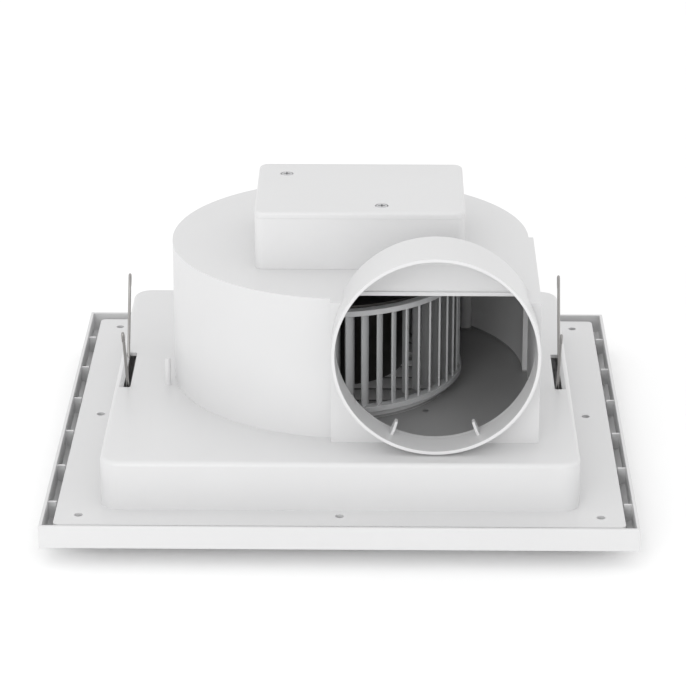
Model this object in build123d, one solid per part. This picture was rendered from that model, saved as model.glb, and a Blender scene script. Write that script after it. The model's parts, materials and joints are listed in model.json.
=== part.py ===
from build123d import *
import os
from math import asin, atan2, cos, degrees, hypot, radians, sin, sqrt

# Ceiling extractor fan: a square louvred cover, a housing tray that screws to the ceiling,
# a round fan casing with a side duct collar, and a motor that drives a squirrel-cage impeller.
# Millimetres. The origin is the middle of the cover's lowest plane. +Z points up, away from
# the room. The duct leaves towards -Y and sits off centre towards +X.

# ---------------------------------------------------------------- driving dimensions

# mouldings
wall = 2.0                      # wall of the housing mouldings
clearance = 0.3                 # gap between separate mouldings and moving pieces
fastener_clearance = 0.05       # radial gap round a screw or bolt shank
running_clearance = 0.03        # radial gap of the shaft in its bearings

# cover grille
panel_side = 300.0
rim_front_z = 10.0              # front edge of the rim above the lowest plane
rim_height = 12.0
rim_wall = 1.7
border_width = 27.0             # sloped border, from the rim to the proud crest
border_wall = 2.0
throat_slope_width = 15.0       # slope from the crest back to the first slot
throat_depth = 9.0
blade_count = 5
blade_pitch = 17.0
first_slot = 5.0                # first slot, seen square on
blade_front_z = 1.0
blade_run = 11.5                # a louvre blade leans at 45 degrees, so this is its depth too
blade_thickness = 2.4           # measured along X or Y
centre_plate_gap = 3.0
centre_plate_thickness = 2.5
centre_plate_z = 2.0
cross_rib_width = 1.3
cross_rib_z = 2.0
cross_rib_height = 3.0
groove_rib_width = 1.6
groove_rib_spacing = 46.0
stop_pad_length = 8.0
stop_pad_width = 2.0
stop_pad_inset = 4.0            # from the flange's edge
stop_pad_spacing = 100.0

# housing tray
flange_gap = 4.8                # between the flange and the inside of the rim
flange_thickness = 2.0
flange_drop = 2.0               # the flange's top lies this far below the rim's top
flange_corner = 3.0
flange_hole_radius = 2.2
flange_hole_inset = 12.0
plinth_top_z = 46.0
plinth_extra_y = 3.5            # the plinth is this much longer to each side along Y than along X
plinth_corner = 10.0
plinth_edge = 2.5
peg_radius = 1.5
peg_height = 15.0
peg_gap = 5.0                   # from the casing to the peg
peg_angle = 193                 # round the casing

# cover springs
wire_radius = 0.8
spring_inset = 8.0              # spring line, outside the first slot's edge
spring_pivot_z = 12.5
spring_angle = 31.2             # of each arm from upright, cover closed
spring_arm_height = 73.0        # of the arm's tip above the pivot, cover closed
spring_hook = 5.0
spring_arm_offset = 1.5         # the two arms lie side by side
coil_radius = 4.2
coil_length = 5.0
spring_pin_radius = 1.5
lug_thickness = 2.0
lug_gap = 1.5                   # between the coil and each lug
lug_width = 8.0
lug_top = 4.0                   # lug above the pivot
slot_length = 50.0
slot_width = 6.0
slot_to_wall = 0.5

# fan wheel
axis_x = -6.5
axis_y = -5.0
impeller_radius = 69.5
impeller_bottom_z = 51.5
impeller_height = 56.5
impeller_blades = 51
blade_depth = 11.0              # radial depth of the wheel's blades
blade_bend = 65.0               # degrees that a blade turns, clockwise from above, on its way out
blade_tip_inset = 1.0           # the blades' bent tips end this far inside the wheel's edge
wheel_blade_thickness = 1.1
end_ring_height = 3.0
end_ring_width = 4.5
blade_inset = 0.4               # the blades start this far out from the top ring's inner edge
cup_gap = 3.5                   # between the motor and the narrow end of its cup
cup_taper = 4.0
cup_wall = 1.5
cup_bottom_z = 54.0
cup_flange_inset = 4.5          # the cup's flange ends this far inside the wheel's edge
boss_radius = 9.0
boss_height = 9.0
rivet_count = 6
rivet_radius = 1.6
rivet_inset = 7.0               # from the wheel's edge
rivet_depth = 2.0               # into the cage's top ring
rivet_head_radius = 2.8
rivet_head_height = 1.2
hub_washer_radius = 8.0
hub_washer_thickness = 1.2
hub_nut_across = 11.0
hub_nut_height = 5.0
shaft_end = 1.5                 # shaft below the nut
shaft_chamfer = 0.5

# fan casing
casing_offset_x = 10.5          # the casing's centre from the fan axis
casing_offset_y = 7.0
scroll_gap = 10.4               # tightest gap from the wheel to the casing
casing_height = 76.0
outlet_proud = 5.5              # the outlet block's front, in front of the drum
outlet_margin = 0.5             # the block is this much wider than the collar, each side
outlet_step = 2.5               # the outlet block stands this far outside the drum
tongue_gap = 6.0
screw_boss_radius = 3.5
screw_boss_height = 20.0
screw_boss_seat = 0.6           # the bosses sink this far into the casing wall
screw_boss_angles = (45, 110, 172)
side_boss_gap = 14.0            # from the outlet block's left side to the boss beside it

# duct collar
collar_radius = 52.5
collar_wall = 1.8
collar_gap = 1.0                # under the collar, so that a duct can be pushed over it
collar_length = 18.0            # in front of the outlet block
hump_length = 18.0              # the collar's hump above the casing, behind the block's front
hump_step = 0.6                 # the hump is this much smaller, so the collar ends at a fine step
fin_spread = 22.0
fin_thickness = 1.5
fin_height = 6.0
fin_length = 8.0
fin_back = 10.0                 # the fins start this far from the mouth

# inlet ring
inlet_inset = 7.0               # inlet radius, inside the wheel's radius
inlet_wall = 2.0
inlet_lip_radius = 9.0
inlet_flange_width = 13.0
inlet_lip_z = 37.0
inlet_screw_angles = (45, 135, 225, 315)

# motor
shaft_radius = 3.0
motor_radius = 35.0
stator_bottom_z = 70.0
stator_height = 26.0
stator_bore = 18.1
air_gap = 0.4
stator_slots = 12
slot_depth = 11.0
stator_slot_width = 5.0
slot_mouth = 2.0                # width of a slot's mouth, and its depth from the bore
winding_height = 6.0
winding_inner = 19.5
winding_gap = 0.6               # between the windings and the tie bolts' pads
shield_depth = 9.0
shield_wall = 2.0
bearing_radius = 6.0
bearing_height = 6.5
bearing_boss_wall = 2.5
tie_bolt_radius = 1.5
tie_bolt_inset = 3.3            # from the motor's edge
tie_pad_wall = 1.8              # of the shields' pads round the tie bolts
tie_head_radius = 2.7
tie_head_height = 1.8
rotor_ring_height = 2.5
rotor_ring_width = 7.0
rotor_ring_inset = 1.5
bracket_thickness = 2.0
bracket_arm_width = 11.0
bracket_tab_width = 7.0
bracket_ring_width = 6.0
mount_inset = 5.0               # from the motor's edge
mount_angles = (90, 210, 330)
rubber_radius = 5.0
motor_screw_radius = 2.0
lead_hole_radius = 6.0
lead_hole_offset = 17.0         # from the fan axis towards +X
grommet_lip = 1.0
grommet_bore = 4.2
grommet_rim = 1.8               # of its lips past the hole

# terminal box
box_reach_left = 38.5           # from the fan axis
box_reach_right = 70.0
box_reach_front = 44.0
box_back_gap = 1.8              # between the rear motor screw's head and the box
box_height = 31.0
box_corner = 5.0
lid_thickness = 3.5
lid_edge = 1.5
lid_screw_back_left = (15.0, 17.5)      # in from the box's left and back sides
lid_screw_front_right = (43.0, 11.5)    # in from the box's right and front sides
box_post_radius = 3.5
gland_plate_half = 12.0
terminal_block_size = (24.0, 18.0, 13.0)
terminal_block_place = (48.0, -26.0)
terminal_count = 3
terminal_pitch = 7.6
terminal_row = 5.6              # each row of screws from the block's middle
terminal_sink = 5.0             # the fixing screw's seat, below the block's top
terminal_screw_radius = 1.0
terminal_screw_length = 7.0
terminal_head_radius = 1.7
terminal_head_height = 1.4
capacitor_size = (28.0, 16.0, 22.0)
capacitor_corner = 2.0
capacitor_place = (45.0, -3.0)
clip_thickness = 1.0
clip_width = 8.0
clip_foot = 8.5
gland_x = 46.0
gland_height = 13.0             # gland axis above the casing's top
gland_bore_radius = 3.8
gland_thread_radius = 6.0
gland_nut_across = 17.0
gland_nut_length = 7.0
gland_dome_length = 6.0
gland_dome_radius = 7.2
gland_ring_length = 3.0         # the ring nut inside the box
clamp_size = (22.0, 6.0, 3.0)
clamp_y = 19.0
lead_radius = 1.1
lead_spacing = 2.6
lead_height = 6.0               # of the leads above the casing's top
lead_run = 12.0
lead_bend = 4.0

# small screws
small_screw_radius = 1.6
small_head_radius = 3.2
small_head_height = 2.2
small_screw_length = 10.0

# ---------------------------------------------------------------- worked-out places

rim_outer = panel_side / 2
rim_inner = rim_outer - rim_wall
rim_top_z = rim_front_z + rim_height
crest_half = rim_outer - border_width
slot_edge_half = crest_half - throat_slope_width
border_rise = rim_front_z / border_width
throat_rise = throat_depth / throat_slope_width
border_back = border_wall * sqrt(1 + border_rise**2)     # wall measured along Z
throat_back = border_wall * sqrt(1 + throat_rise**2)

flange_half = rim_inner - flange_gap
flange_top_z = rim_top_z - flange_drop
flange_bottom_z = flange_top_z - flange_thickness
flange_hole_half = flange_half - flange_hole_inset
tray_ceiling_z = plinth_top_z - wall

spring_x = slot_edge_half + spring_inset
slot_outer_x = spring_x + slot_width / 2
plinth_half_x = slot_outer_x + slot_to_wall + wall
plinth_half_y = plinth_half_x + plinth_extra_y

impeller_top_z = impeller_bottom_z + impeller_height
cup_radius = motor_radius + cup_gap + cup_wall + cup_taper
cup_flange_radius = impeller_radius - cup_flange_inset
casing_x = axis_x + casing_offset_x
casing_y = axis_y + casing_offset_y
casing_inner = impeller_radius + scroll_gap + hypot(casing_offset_x, casing_offset_y)
casing_radius = casing_inner + wall
casing_top_z = plinth_top_z + casing_height
casing_ceiling_z = casing_top_z - wall

collar_inner = collar_radius - collar_wall
outlet_front_y = casing_y - casing_radius - outlet_proud
outlet_right_x = casing_x + casing_radius + outlet_step
collar_x = outlet_right_x - outlet_margin - collar_radius
outlet_left_x = collar_x - collar_radius - outlet_margin
collar_z = plinth_top_z + collar_gap + collar_radius
mouth_y = outlet_front_y - collar_length
hump_back_y = outlet_front_y + hump_length

inlet_radius = impeller_radius - inlet_inset
inlet_curve_z = inlet_lip_z + inlet_lip_radius
inlet_curve_radius = inlet_radius + inlet_lip_radius     # circle that the lip's section turns about

stator_top_z = stator_bottom_z + stator_height
tie_bolt_circle = motor_radius - tie_bolt_inset
tie_pad_radius = tie_bolt_radius + tie_pad_wall
winding_outer = tie_bolt_circle - tie_pad_radius - winding_gap
mount_circle = motor_radius - mount_inset
lower_shield_z = stator_bottom_z - shield_depth
upper_shield_z = stator_top_z + shield_depth
bracket_top_z = upper_shield_z + bracket_thickness
nut_top_z = cup_bottom_z - boss_height - hub_washer_thickness
shaft_bottom_z = nut_top_z - hub_nut_height - shaft_end
shaft_top_z = upper_shield_z + bearing_height

box_left_x = axis_x - box_reach_left
box_right_x = axis_x + box_reach_right
box_front_y = axis_y - box_reach_front
box_back_y = axis_y + mount_circle + small_head_radius + box_back_gap + wall
box_top_z = casing_top_z + box_height
box_rim_z = box_top_z - lid_thickness
lid_screw_places = (
    (box_left_x + lid_screw_back_left[0], box_back_y - lid_screw_back_left[1]),
    (box_right_x - lid_screw_front_right[0], box_front_y + lid_screw_front_right[1]),
)
mount_places = [
    (axis_x + mount_circle * cos(radians(angle)), axis_y + mount_circle * sin(radians(angle)))
    for angle in mount_angles
]
tie_bolt_places = [
    (axis_x + tie_bolt_circle * cos(radians(angle)), axis_y + tie_bolt_circle * sin(radians(angle)))
    for angle in (45, 135, 225, 315)
]

# ---------------------------------------------------------------- shape helpers


def block(x0, x1, y0, y1, z0, z1):
    """A box between two corners."""
    middle = Pos((x0 + x1) / 2, (y0 + y1) / 2, (z0 + z1) / 2)
    return middle * Box(x1 - x0, y1 - y0, z1 - z0)


def disc(radius, z0, z1, x=axis_x, y=axis_y):
    """An upright cylinder."""
    return Pos(x, y, (z0 + z1) / 2) * Cylinder(radius, z1 - z0)


def tube(outer, inner, z0, z1, x=axis_x, y=axis_y):
    """An upright tube."""
    return disc(outer, z0, z1, x, y) - disc(inner, z0 - 1, z1 + 1, x, y)


def rounded_block(half_x, half_y, corner, z0, z1, x=0, y=0):
    """A box with rounded upright edges."""
    plan = RectangleRounded(2 * half_x, 2 * half_y, corner)
    return Pos(x, y, z0) * extrude(plan, z1 - z0)


def lying_disc(radius, y0, y1, x, z):
    """A cylinder along Y."""
    return Pos(x, (y0 + y1) / 2, z) * Rot(90, 0, 0) * Cylinder(radius, y1 - y0)


def square_ring(profile):
    """A mitred square ring from an outline of (half side, height) points."""
    reach = max(half for half, height in profile) + 1
    low = min(height for half, height in profile) - 1
    high = max(height for half, height in profile) + 1
    outline = Polyline(*[(half, 0, height) for half, height in profile], close=True)
    bar = extrude(make_face(outline), reach, dir=(0, 1, 0), both=True)
    corner = Polyline((0, 0, low), (reach, -reach, low), (reach, reach, low), close=True)
    side = bar & extrude(make_face(corner), high - low, dir=(0, 0, 1))
    ring = side
    for turn in (90, 180, 270):
        ring += Rot(0, 0, turn) * side
    return ring


def turned(points, x=axis_x, y=axis_y):
    """A solid turned about an upright axis from an outline of (radius, height) points."""
    outline = Polyline(*[(radius, 0, height) for radius, height in points], close=True)
    return Pos(x, y, 0) * revolve(make_face(outline), Axis.Z)


def screw(x, y, head_z, radius, length, head_radius, head_height, up=False):
    """A pan-head screw. head_z is the seat of its head, and it points down unless up is set."""
    head = Pos(0, 0, head_height / 2) * Cylinder(head_radius, head_height)
    head = fillet(head.edges().group_by(Axis.Z)[-1], head_height * 0.4)
    recess_depth = head_height * 0.5
    recess = Pos(0, 0, head_height - recess_depth / 2) * (
        Box(head_radius * 1.1, head_radius * 0.25, recess_depth)
        + Box(head_radius * 0.25, head_radius * 1.1, recess_depth)
    )
    shank = Pos(0, 0, -length / 2) * Cylinder(radius, length)
    body = head - recess + shank
    if up:
        body = Rot(180, 0, 0) * body
    return Pos(x, y, head_z) * body


def small_screw(x, y, head_z, up=False):
    return screw(
        x, y, head_z, small_screw_radius, small_screw_length, small_head_radius, small_head_height, up
    )


def hexagon(across_flats, height):
    return extrude(RegularPolygon(across_flats / 2, 6, major_radius=False), height)


def group(solids):
    """Separate solids that share one node."""
    return Compound(children=list(solids))


# ---------------------------------------------------------------- cover and its springs


def cover_back_z(half):
    """Height of the cover's back surface between the first slot and the rim."""
    if half < crest_half:
        return throat_back + (crest_half - half) * throat_rise
    return border_back + (half - crest_half) * border_rise


def cover_grille():
    shell = square_ring([
        (rim_outer, rim_top_z),
        (rim_outer, rim_front_z),
        (crest_half, 0),
        (slot_edge_half, throat_depth),
        (slot_edge_half, throat_depth + throat_back),
        (crest_half, throat_back),
        (rim_inner, cover_back_z(rim_inner)),
        (rim_inner, rim_top_z),
    ])
    cover = shell
    for number in range(blade_count):
        front = slot_edge_half - first_slot - number * blade_pitch
        cover += square_ring([
            (front, blade_front_z),
            (front - blade_run, blade_front_z + blade_run),
            (front - blade_run - blade_thickness, blade_front_z + blade_run),
            (front - blade_thickness, blade_front_z),
        ])
    plate_half = front - blade_run - blade_thickness - centre_plate_gap
    cover += block(
        -plate_half, plate_half, -plate_half, plate_half,
        centre_plate_z, centre_plate_z + centre_plate_thickness,
    )
    # Cross ribs tie the blades and the plate to the frame. The outer stretch follows the slope.
    rib_half = cross_rib_width / 2
    rib_top = cross_rib_z + cross_rib_height
    inner_reach = slot_edge_half - first_slot - blade_thickness
    for turn in (0, 90, 180, 270):
        rib = block(plate_half - 1, inner_reach, -rib_half, rib_half, cross_rib_z, rib_top)
        outer_outline = Polyline(
            (inner_reach - cross_rib_height, 0, cross_rib_z + cross_rib_height),
            (inner_reach, 0, cross_rib_z),
            (slot_edge_half + 1, 0, throat_depth - 1),
            (slot_edge_half + 1, 0, throat_depth + throat_back / 2),
            close=True,
        )
        rib += extrude(make_face(outer_outline), rib_half, dir=(0, 1, 0), both=True)
        cover += Rot(0, 0, turn) * rib
    # Ribs in the groove beside the rim, and pads that the tray's flange rests on.
    pad_half = flange_half - stop_pad_inset
    for turn in (0, 90, 180, 270):
        for step in (-2.5, -1.5, -0.5, 0.5, 1.5, 2.5):
            middle = step * groove_rib_spacing
            cover += Rot(0, 0, turn) * block(
                flange_half + 2 * clearance, rim_inner + rim_wall / 2,
                middle - groove_rib_width / 2, middle + groove_rib_width / 2,
                cover_back_z(rim_inner) - border_wall / 2, flange_top_z,
            )
        for step in (-1, 1):
            middle = step * stop_pad_spacing
            cover += Rot(0, 0, turn) * block(
                pad_half - stop_pad_width, pad_half,
                middle - stop_pad_length / 2, middle + stop_pad_length / 2,
                cover_back_z(pad_half - stop_pad_width) - border_wall / 2, flange_bottom_z,
            )
    # Lugs that carry the spring pins.
    lug_reach = coil_length / 2 + lug_gap + lug_thickness / 2
    for side in (-1, 1):
        for lug_x in (spring_x - lug_reach, spring_x + lug_reach):
            inner = side * lug_x - lug_thickness / 2
            cover += block(
                inner, inner + lug_thickness, -lug_width / 2, lug_width / 2,
                cover_back_z(lug_x) - border_wall / 2, spring_pivot_z + lug_top,
            )
        hole = Cylinder(spring_pin_radius, 2 * (lug_reach + lug_thickness))
        cover -= Pos(side * spring_x, 0, spring_pivot_z) * Rot(0, 90, 0) * hole
    return cover


def spring_pins():
    length = coil_length + 2 * lug_gap + 2 * lug_thickness
    pin = Rot(0, 90, 0) * Cylinder(spring_pin_radius, length)
    return group(Pos(side * spring_x, 0, spring_pivot_z) * pin for side in (-1, 1))


def spring_coil(side):
    hollow = spring_pin_radius + clearance
    coil = Cylinder(coil_radius, coil_length) - Cylinder(hollow, coil_length + 1)
    return Pos(side * spring_x, 0, spring_pivot_z) * Rot(0, 90, 0) * coil


def spring_arm(side, end):
    """One wire arm with a hooked tip. end is +1 for the back arm and -1 for the front arm."""
    lean = radians(spring_angle)
    x = side * (spring_x + end * spring_arm_offset)

    def place(along, across=0.0):
        y = end * (along * sin(lean) + across * cos(lean))
        return (x, y, spring_pivot_z + along * cos(lean) - across * sin(lean))

    start = coil_radius + wire_radius + clearance / 2
    reach = spring_arm_height / cos(lean)
    line = FilletPolyline(
        place(start), place(reach), place(reach - 1, spring_hook), place(reach - 1.6 * spring_hook, spring_hook),
        radius=spring_hook * 0.35,
    )
    section = Plane(origin=line @ 0, z_dir=line % 0) * Circle(wire_radius)
    return sweep(section, path=line)


# ---------------------------------------------------------------- housing mouldings


def flange_hole_places():
    for x in (-1, 0, 1):
        for y in (-1, 0, 1):
            if x or y:
                yield x * flange_hole_half, y * flange_hole_half


def casing_screw_places():
    ring = casing_inner - screw_boss_radius + screw_boss_seat
    for angle in screw_boss_angles:
        yield casing_x + ring * cos(radians(angle)), casing_y + ring * sin(radians(angle))
    side_x = outlet_left_x - side_boss_gap
    yield side_x, casing_y - sqrt(ring**2 - (side_x - casing_x) ** 2)
    inset = wall + screw_boss_radius - screw_boss_seat
    yield outlet_right_x - inset, outlet_front_y + inset


def inlet_screw_places():
    ring = inlet_radius + inlet_flange_width - small_head_radius - 1
    for angle in inlet_screw_angles:
        yield axis_x + ring * cos(radians(angle)), axis_y + ring * sin(radians(angle))


def housing_tray():
    flange = rounded_block(flange_half, flange_half, flange_corner, flange_bottom_z, flange_top_z)
    plinth = rounded_block(plinth_half_x, plinth_half_y, plinth_corner, flange_bottom_z, plinth_top_z)
    plinth = fillet(plinth.edges().group_by(Axis.Z)[-1], plinth_edge)
    hollow = rounded_block(
        plinth_half_x - wall, plinth_half_y - wall, plinth_corner - wall,
        flange_bottom_z - 1, tray_ceiling_z,
    )
    tray = flange + plinth - hollow
    for x, y in flange_hole_places():
        tray -= disc(flange_hole_radius, flange_bottom_z - 1, flange_top_z + 1, x, y)
    tray -= disc(inlet_back(tray_ceiling_z) + clearance, tray_ceiling_z - 1, plinth_top_z + 1)
    for side in (-1, 1):
        inner = side * spring_x - slot_width / 2
        tray -= block(
            inner, inner + slot_width, -slot_length / 2, slot_length / 2,
            tray_ceiling_z - 1, plinth_top_z + 1,
        )
    for x, y in [*casing_screw_places(), *inlet_screw_places()]:
        tray -= disc(small_screw_radius + fastener_clearance, tray_ceiling_z - 1, plinth_top_z + 1, x, y)
    peg_ring = casing_radius + peg_gap
    peg_turn = radians(peg_angle)
    tray += disc(
        peg_radius, tray_ceiling_z, plinth_top_z + peg_height,
        casing_x + peg_ring * cos(peg_turn), casing_y + peg_ring * sin(peg_turn),
    )
    return tray


def volute_casing():
    z0 = plinth_top_z
    drum = disc(casing_radius, z0, casing_top_z, casing_x, casing_y)
    outlet = block(outlet_left_x, outlet_right_x, outlet_front_y, casing_y, z0, casing_top_z)
    outside = drum + outlet
    drum_space = disc(casing_inner, z0 - 1, casing_ceiling_z, casing_x, casing_y)
    outlet_space = block(
        outlet_left_x + wall, outlet_right_x - wall, outlet_front_y + wall, casing_y,
        z0 - 1, casing_ceiling_z,
    )
    casing = outside - drum_space - outlet_space
    # The tongue is the outlet's inner side wall, carried in until it nears the wheel.
    tongue_x = outlet_left_x + wall / 2
    tongue_reach = impeller_radius + tongue_gap + wall / 2
    tongue_y = axis_y - sqrt(tongue_reach**2 - (tongue_x - axis_x) ** 2)
    tongue = block(outlet_left_x, outlet_left_x + wall, outlet_front_y, tongue_y, z0, casing_top_z)
    tongue += disc(wall / 2, z0, casing_top_z, tongue_x, tongue_y)
    casing += tongue
    # The mouth is the collar's bore. It runs on through the ceiling to the hump's back wall.
    casing -= lying_disc(collar_inner, outlet_front_y - 1, hump_back_y - wall, collar_x, collar_z)
    for x, y in casing_screw_places():
        boss = disc(screw_boss_radius, z0, z0 + screw_boss_height, x, y)
        casing += boss & (drum + outlet)
    for x, y in casing_screw_places():
        casing -= disc(small_screw_radius + fastener_clearance, z0 - 1, z0 + small_screw_length, x, y)
    top = (casing_ceiling_z - 1, casing_top_z + 1)
    for x, y in mount_places:
        casing -= disc(motor_screw_radius + fastener_clearance, *top, x, y)
    for x, y in lid_screw_places:
        casing -= disc(small_screw_radius + fastener_clearance, *top, x, y)
    casing -= disc(lead_hole_radius + clearance, *top, axis_x + lead_hole_offset, axis_y)
    for x, y in [terminal_fixing_place(), *clamp_screw_places(), capacitor_clip_screw_place()]:
        casing -= disc(small_screw_radius + fastener_clearance, *top, x, y)
    return casing


def duct_collar():
    outside = lying_disc(collar_radius, mouth_y, outlet_front_y, collar_x, collar_z)
    outside += lying_disc(collar_radius - hump_step, outlet_front_y, hump_back_y, collar_x, collar_z)
    bore = lying_disc(collar_inner, mouth_y - 1, hump_back_y - wall, collar_x, collar_z)
    casing_room = block(
        outlet_left_x - 1, outlet_right_x + 1, outlet_front_y, hump_back_y + 1,
        plinth_top_z - 1, casing_top_z,
    )
    collar = outside - bore - casing_room
    # Each fin points at the collar's axis.
    floor = collar_z - collar_inner
    lean = degrees(asin(fin_spread / collar_inner))
    fin = block(
        collar_x - fin_thickness / 2, collar_x + fin_thickness / 2,
        mouth_y + fin_back, mouth_y + fin_back + fin_length,
        floor - collar_wall / 2, floor + fin_height,
    )
    for turn in (-lean, lean):
        collar += fin.rotate(Axis((collar_x, 0, collar_z), (0, 1, 0)), turn)
    return collar


def inlet_back(z):
    """Radius of the inlet ring's outer surface at a height below its curve."""
    outer_curve = inlet_lip_radius - inlet_wall
    return inlet_curve_radius - sqrt(outer_curve**2 - (inlet_curve_z - z) ** 2)


def inlet_ring():
    centre = inlet_curve_radius
    outer_curve = inlet_lip_radius - inlet_wall
    top = impeller_bottom_z - 1.2
    flange_top = tray_ceiling_z
    flange_bottom = flange_top - inlet_wall
    joint = inlet_back(flange_bottom)
    upper_joint = inlet_back(flange_top)
    start = (inlet_radius, 0, inlet_curve_z)
    lip = (centre, 0, inlet_lip_z)
    diagonal = inlet_lip_radius * sin(radians(45))
    outline = [
        Line((inlet_radius, 0, top), start),
        ThreePointArc(start, (centre - diagonal, 0, inlet_curve_z - diagonal), lip),
        Line(lip, (centre, 0, inlet_lip_z + inlet_wall)),
        ThreePointArc(
            (centre, 0, inlet_lip_z + inlet_wall),
            (
                centre - outer_curve * sin(radians(28)), 0,
                inlet_curve_z - outer_curve * cos(radians(28)),
            ),
            (joint, 0, flange_bottom),
        ),
        Polyline(
            (joint, 0, flange_bottom),
            (inlet_radius + inlet_flange_width, 0, flange_bottom),
            (inlet_radius + inlet_flange_width, 0, flange_top),
            (upper_joint, 0, flange_top),
            (inlet_radius + inlet_wall, 0, inlet_curve_z),
            (inlet_radius + inlet_wall, 0, top),
            (inlet_radius, 0, top),
        ),
    ]
    ring = Pos(axis_x, axis_y, 0) * revolve(make_face(outline), Axis.Z)
    for x, y in inlet_screw_places():
        ring -= disc(small_screw_radius + fastener_clearance, inlet_lip_z, flange_top + 1, x, y)
    return ring


def casing_screws():
    return group(small_screw(x, y, tray_ceiling_z, up=True) for x, y in casing_screw_places())


def inlet_screws():
    seat = tray_ceiling_z - inlet_wall
    return group(
        screw(x, y, seat, small_screw_radius, inlet_wall + wall, small_head_radius, small_head_height, up=True)
        for x, y in inlet_screw_places()
    )


# ---------------------------------------------------------------- fan wheel


def impeller_rings():
    top_ring = tube(
        impeller_radius, impeller_radius - blade_depth,
        impeller_top_z - end_ring_height, impeller_top_z,
    )
    for x, y in rivet_places():
        top_ring -= disc(rivet_radius, impeller_top_z - rivet_depth, impeller_top_z + 1, x, y)
    lower_ring = tube(
        impeller_radius + wheel_blade_thickness / 2, impeller_radius - end_ring_width,
        impeller_bottom_z, impeller_bottom_z + end_ring_height,
    )
    return group([top_ring, lower_ring])


def impeller_blade_set():
    # A blade leaves its root straight outwards and bends round one arc.
    root = impeller_radius - blade_depth + blade_inset
    bend_radius = (blade_depth - blade_inset - blade_tip_inset) / sin(radians(blade_bend))
    back, face = (
        CenterArc((root, -bend_radius), bend_radius + half, 90, -blade_bend)
        for half in (wheel_blade_thickness / 2, -wheel_blade_thickness / 2)
    )
    outline = [back, Line(back @ 1, face @ 1), face, Line(face @ 0, back @ 0)]
    blade = extrude(make_face(outline), impeller_height - 2 * end_ring_height)
    blade = Pos(0, 0, impeller_bottom_z + end_ring_height) * blade
    return group(
        Pos(axis_x, axis_y, 0) * Rot(0, 0, number * 360 / impeller_blades) * blade
        for number in range(impeller_blades)
    )


def rivet_places():
    ring = impeller_radius - rivet_inset
    for number in range(rivet_count):
        turn = radians(30 + number * 360 / rivet_count)
        yield axis_x + ring * cos(turn), axis_y + ring * sin(turn)


def impeller_cup():
    top = impeller_top_z + cup_wall
    low = cup_radius - cup_taper
    cup = turned([
        (0, cup_bottom_z),
        (low, cup_bottom_z),
        (cup_radius, impeller_top_z),
        (cup_flange_radius, impeller_top_z),
        (cup_flange_radius, top),
        (cup_radius - cup_wall, top),
        (low - cup_wall, cup_bottom_z + cup_wall),
        (0, cup_bottom_z + cup_wall),
    ])
    cup += disc(boss_radius, cup_bottom_z - boss_height, cup_bottom_z + cup_wall)
    cup -= disc(shaft_radius, 0, cup_bottom_z + 2 * cup_wall)
    for x, y in rivet_places():
        cup -= disc(rivet_radius, impeller_top_z - 1, top + 1, x, y)
    return cup


def cage_rivets():
    top = impeller_top_z + cup_wall
    bottom = impeller_top_z - rivet_depth
    return group(
        disc(rivet_radius, bottom, top, x, y)
        + disc(rivet_head_radius, top, top + rivet_head_height, x, y)
        for x, y in rivet_places()
    )


def hub_washer():
    return tube(hub_washer_radius, shaft_radius, nut_top_z, nut_top_z + hub_washer_thickness)


def hub_nut():
    nut = Pos(axis_x, axis_y, nut_top_z - hub_nut_height) * hexagon(hub_nut_across, hub_nut_height)
    return nut - disc(shaft_radius, 0, nut_top_z + 1)


def motor_shaft():
    shaft = disc(shaft_radius, shaft_bottom_z, shaft_top_z)
    return chamfer(shaft.edges().filter_by(GeomType.CIRCLE), shaft_chamfer)


def rotor_core():
    radius = stator_bore - air_gap
    core = tube(radius, shaft_radius, stator_bottom_z, stator_top_z)
    ring_radius = radius - rotor_ring_inset
    for z in (stator_bottom_z - rotor_ring_height, stator_top_z):
        core += tube(ring_radius, ring_radius - rotor_ring_width, z, z + rotor_ring_height)
    return core


# ---------------------------------------------------------------- motor


def stator_core():
    core = tube(motor_radius, stator_bore, stator_bottom_z, stator_top_z)
    for number in range(stator_slots):
        slot = block(
            stator_bore + slot_mouth, stator_bore + slot_mouth + slot_depth, -stator_slot_width / 2, stator_slot_width / 2,
            stator_bottom_z - 1, stator_top_z + 1,
        )
        mouth = block(
            stator_bore - 1, stator_bore + slot_mouth + 1, -slot_mouth / 2, slot_mouth / 2,
            stator_bottom_z - 1, stator_top_z + 1,
        )
        turn = Pos(axis_x, axis_y, 0) * Rot(0, 0, (number + 0.5) * 360 / stator_slots)
        core -= turn * (slot + mouth)
    for x, y in tie_bolt_places:
        core -= disc(tie_bolt_radius + fastener_clearance, stator_bottom_z - 1, stator_top_z + 1, x, y)
    return core


def stator_windings():
    ring = tube(winding_outer, winding_inner, 0, winding_height)
    ring = fillet(ring.edges().filter_by(GeomType.CIRCLE), winding_height * 0.3)
    return group([
        Pos(0, 0, stator_bottom_z - winding_height) * ring,
        Pos(0, 0, stator_top_z) * ring,
    ])


def end_shield(upper):
    """A pressed shield with a bearing boss, drawn for the top of the motor."""
    boss = bearing_radius + bearing_boss_wall
    rim_z = stator_top_z
    face_z = upper_shield_z
    inner_z = face_z - shield_wall
    boss_z = face_z - shield_wall + bearing_height
    shield = turned([
        (motor_radius - shield_wall, rim_z),
        (motor_radius, rim_z),
        (motor_radius, face_z),
        (boss, face_z),
        (boss, boss_z),
        (bearing_radius, boss_z),
        (bearing_radius, inner_z),
        (motor_radius - shield_wall, inner_z),
    ])
    pads = [
        disc(tie_pad_radius, rim_z, face_z, x, y) & disc(motor_radius, rim_z, face_z)
        for x, y in tie_bolt_places
    ]
    for pad in pads:
        shield += pad
    for x, y in tie_bolt_places:
        shield -= disc(tie_bolt_radius + fastener_clearance, rim_z - 1, face_z + 1, x, y)
    if upper:
        return shield
    middle_z = (stator_bottom_z + stator_top_z) / 2
    return mirror(shield, Plane.XY.offset(middle_z))


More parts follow.
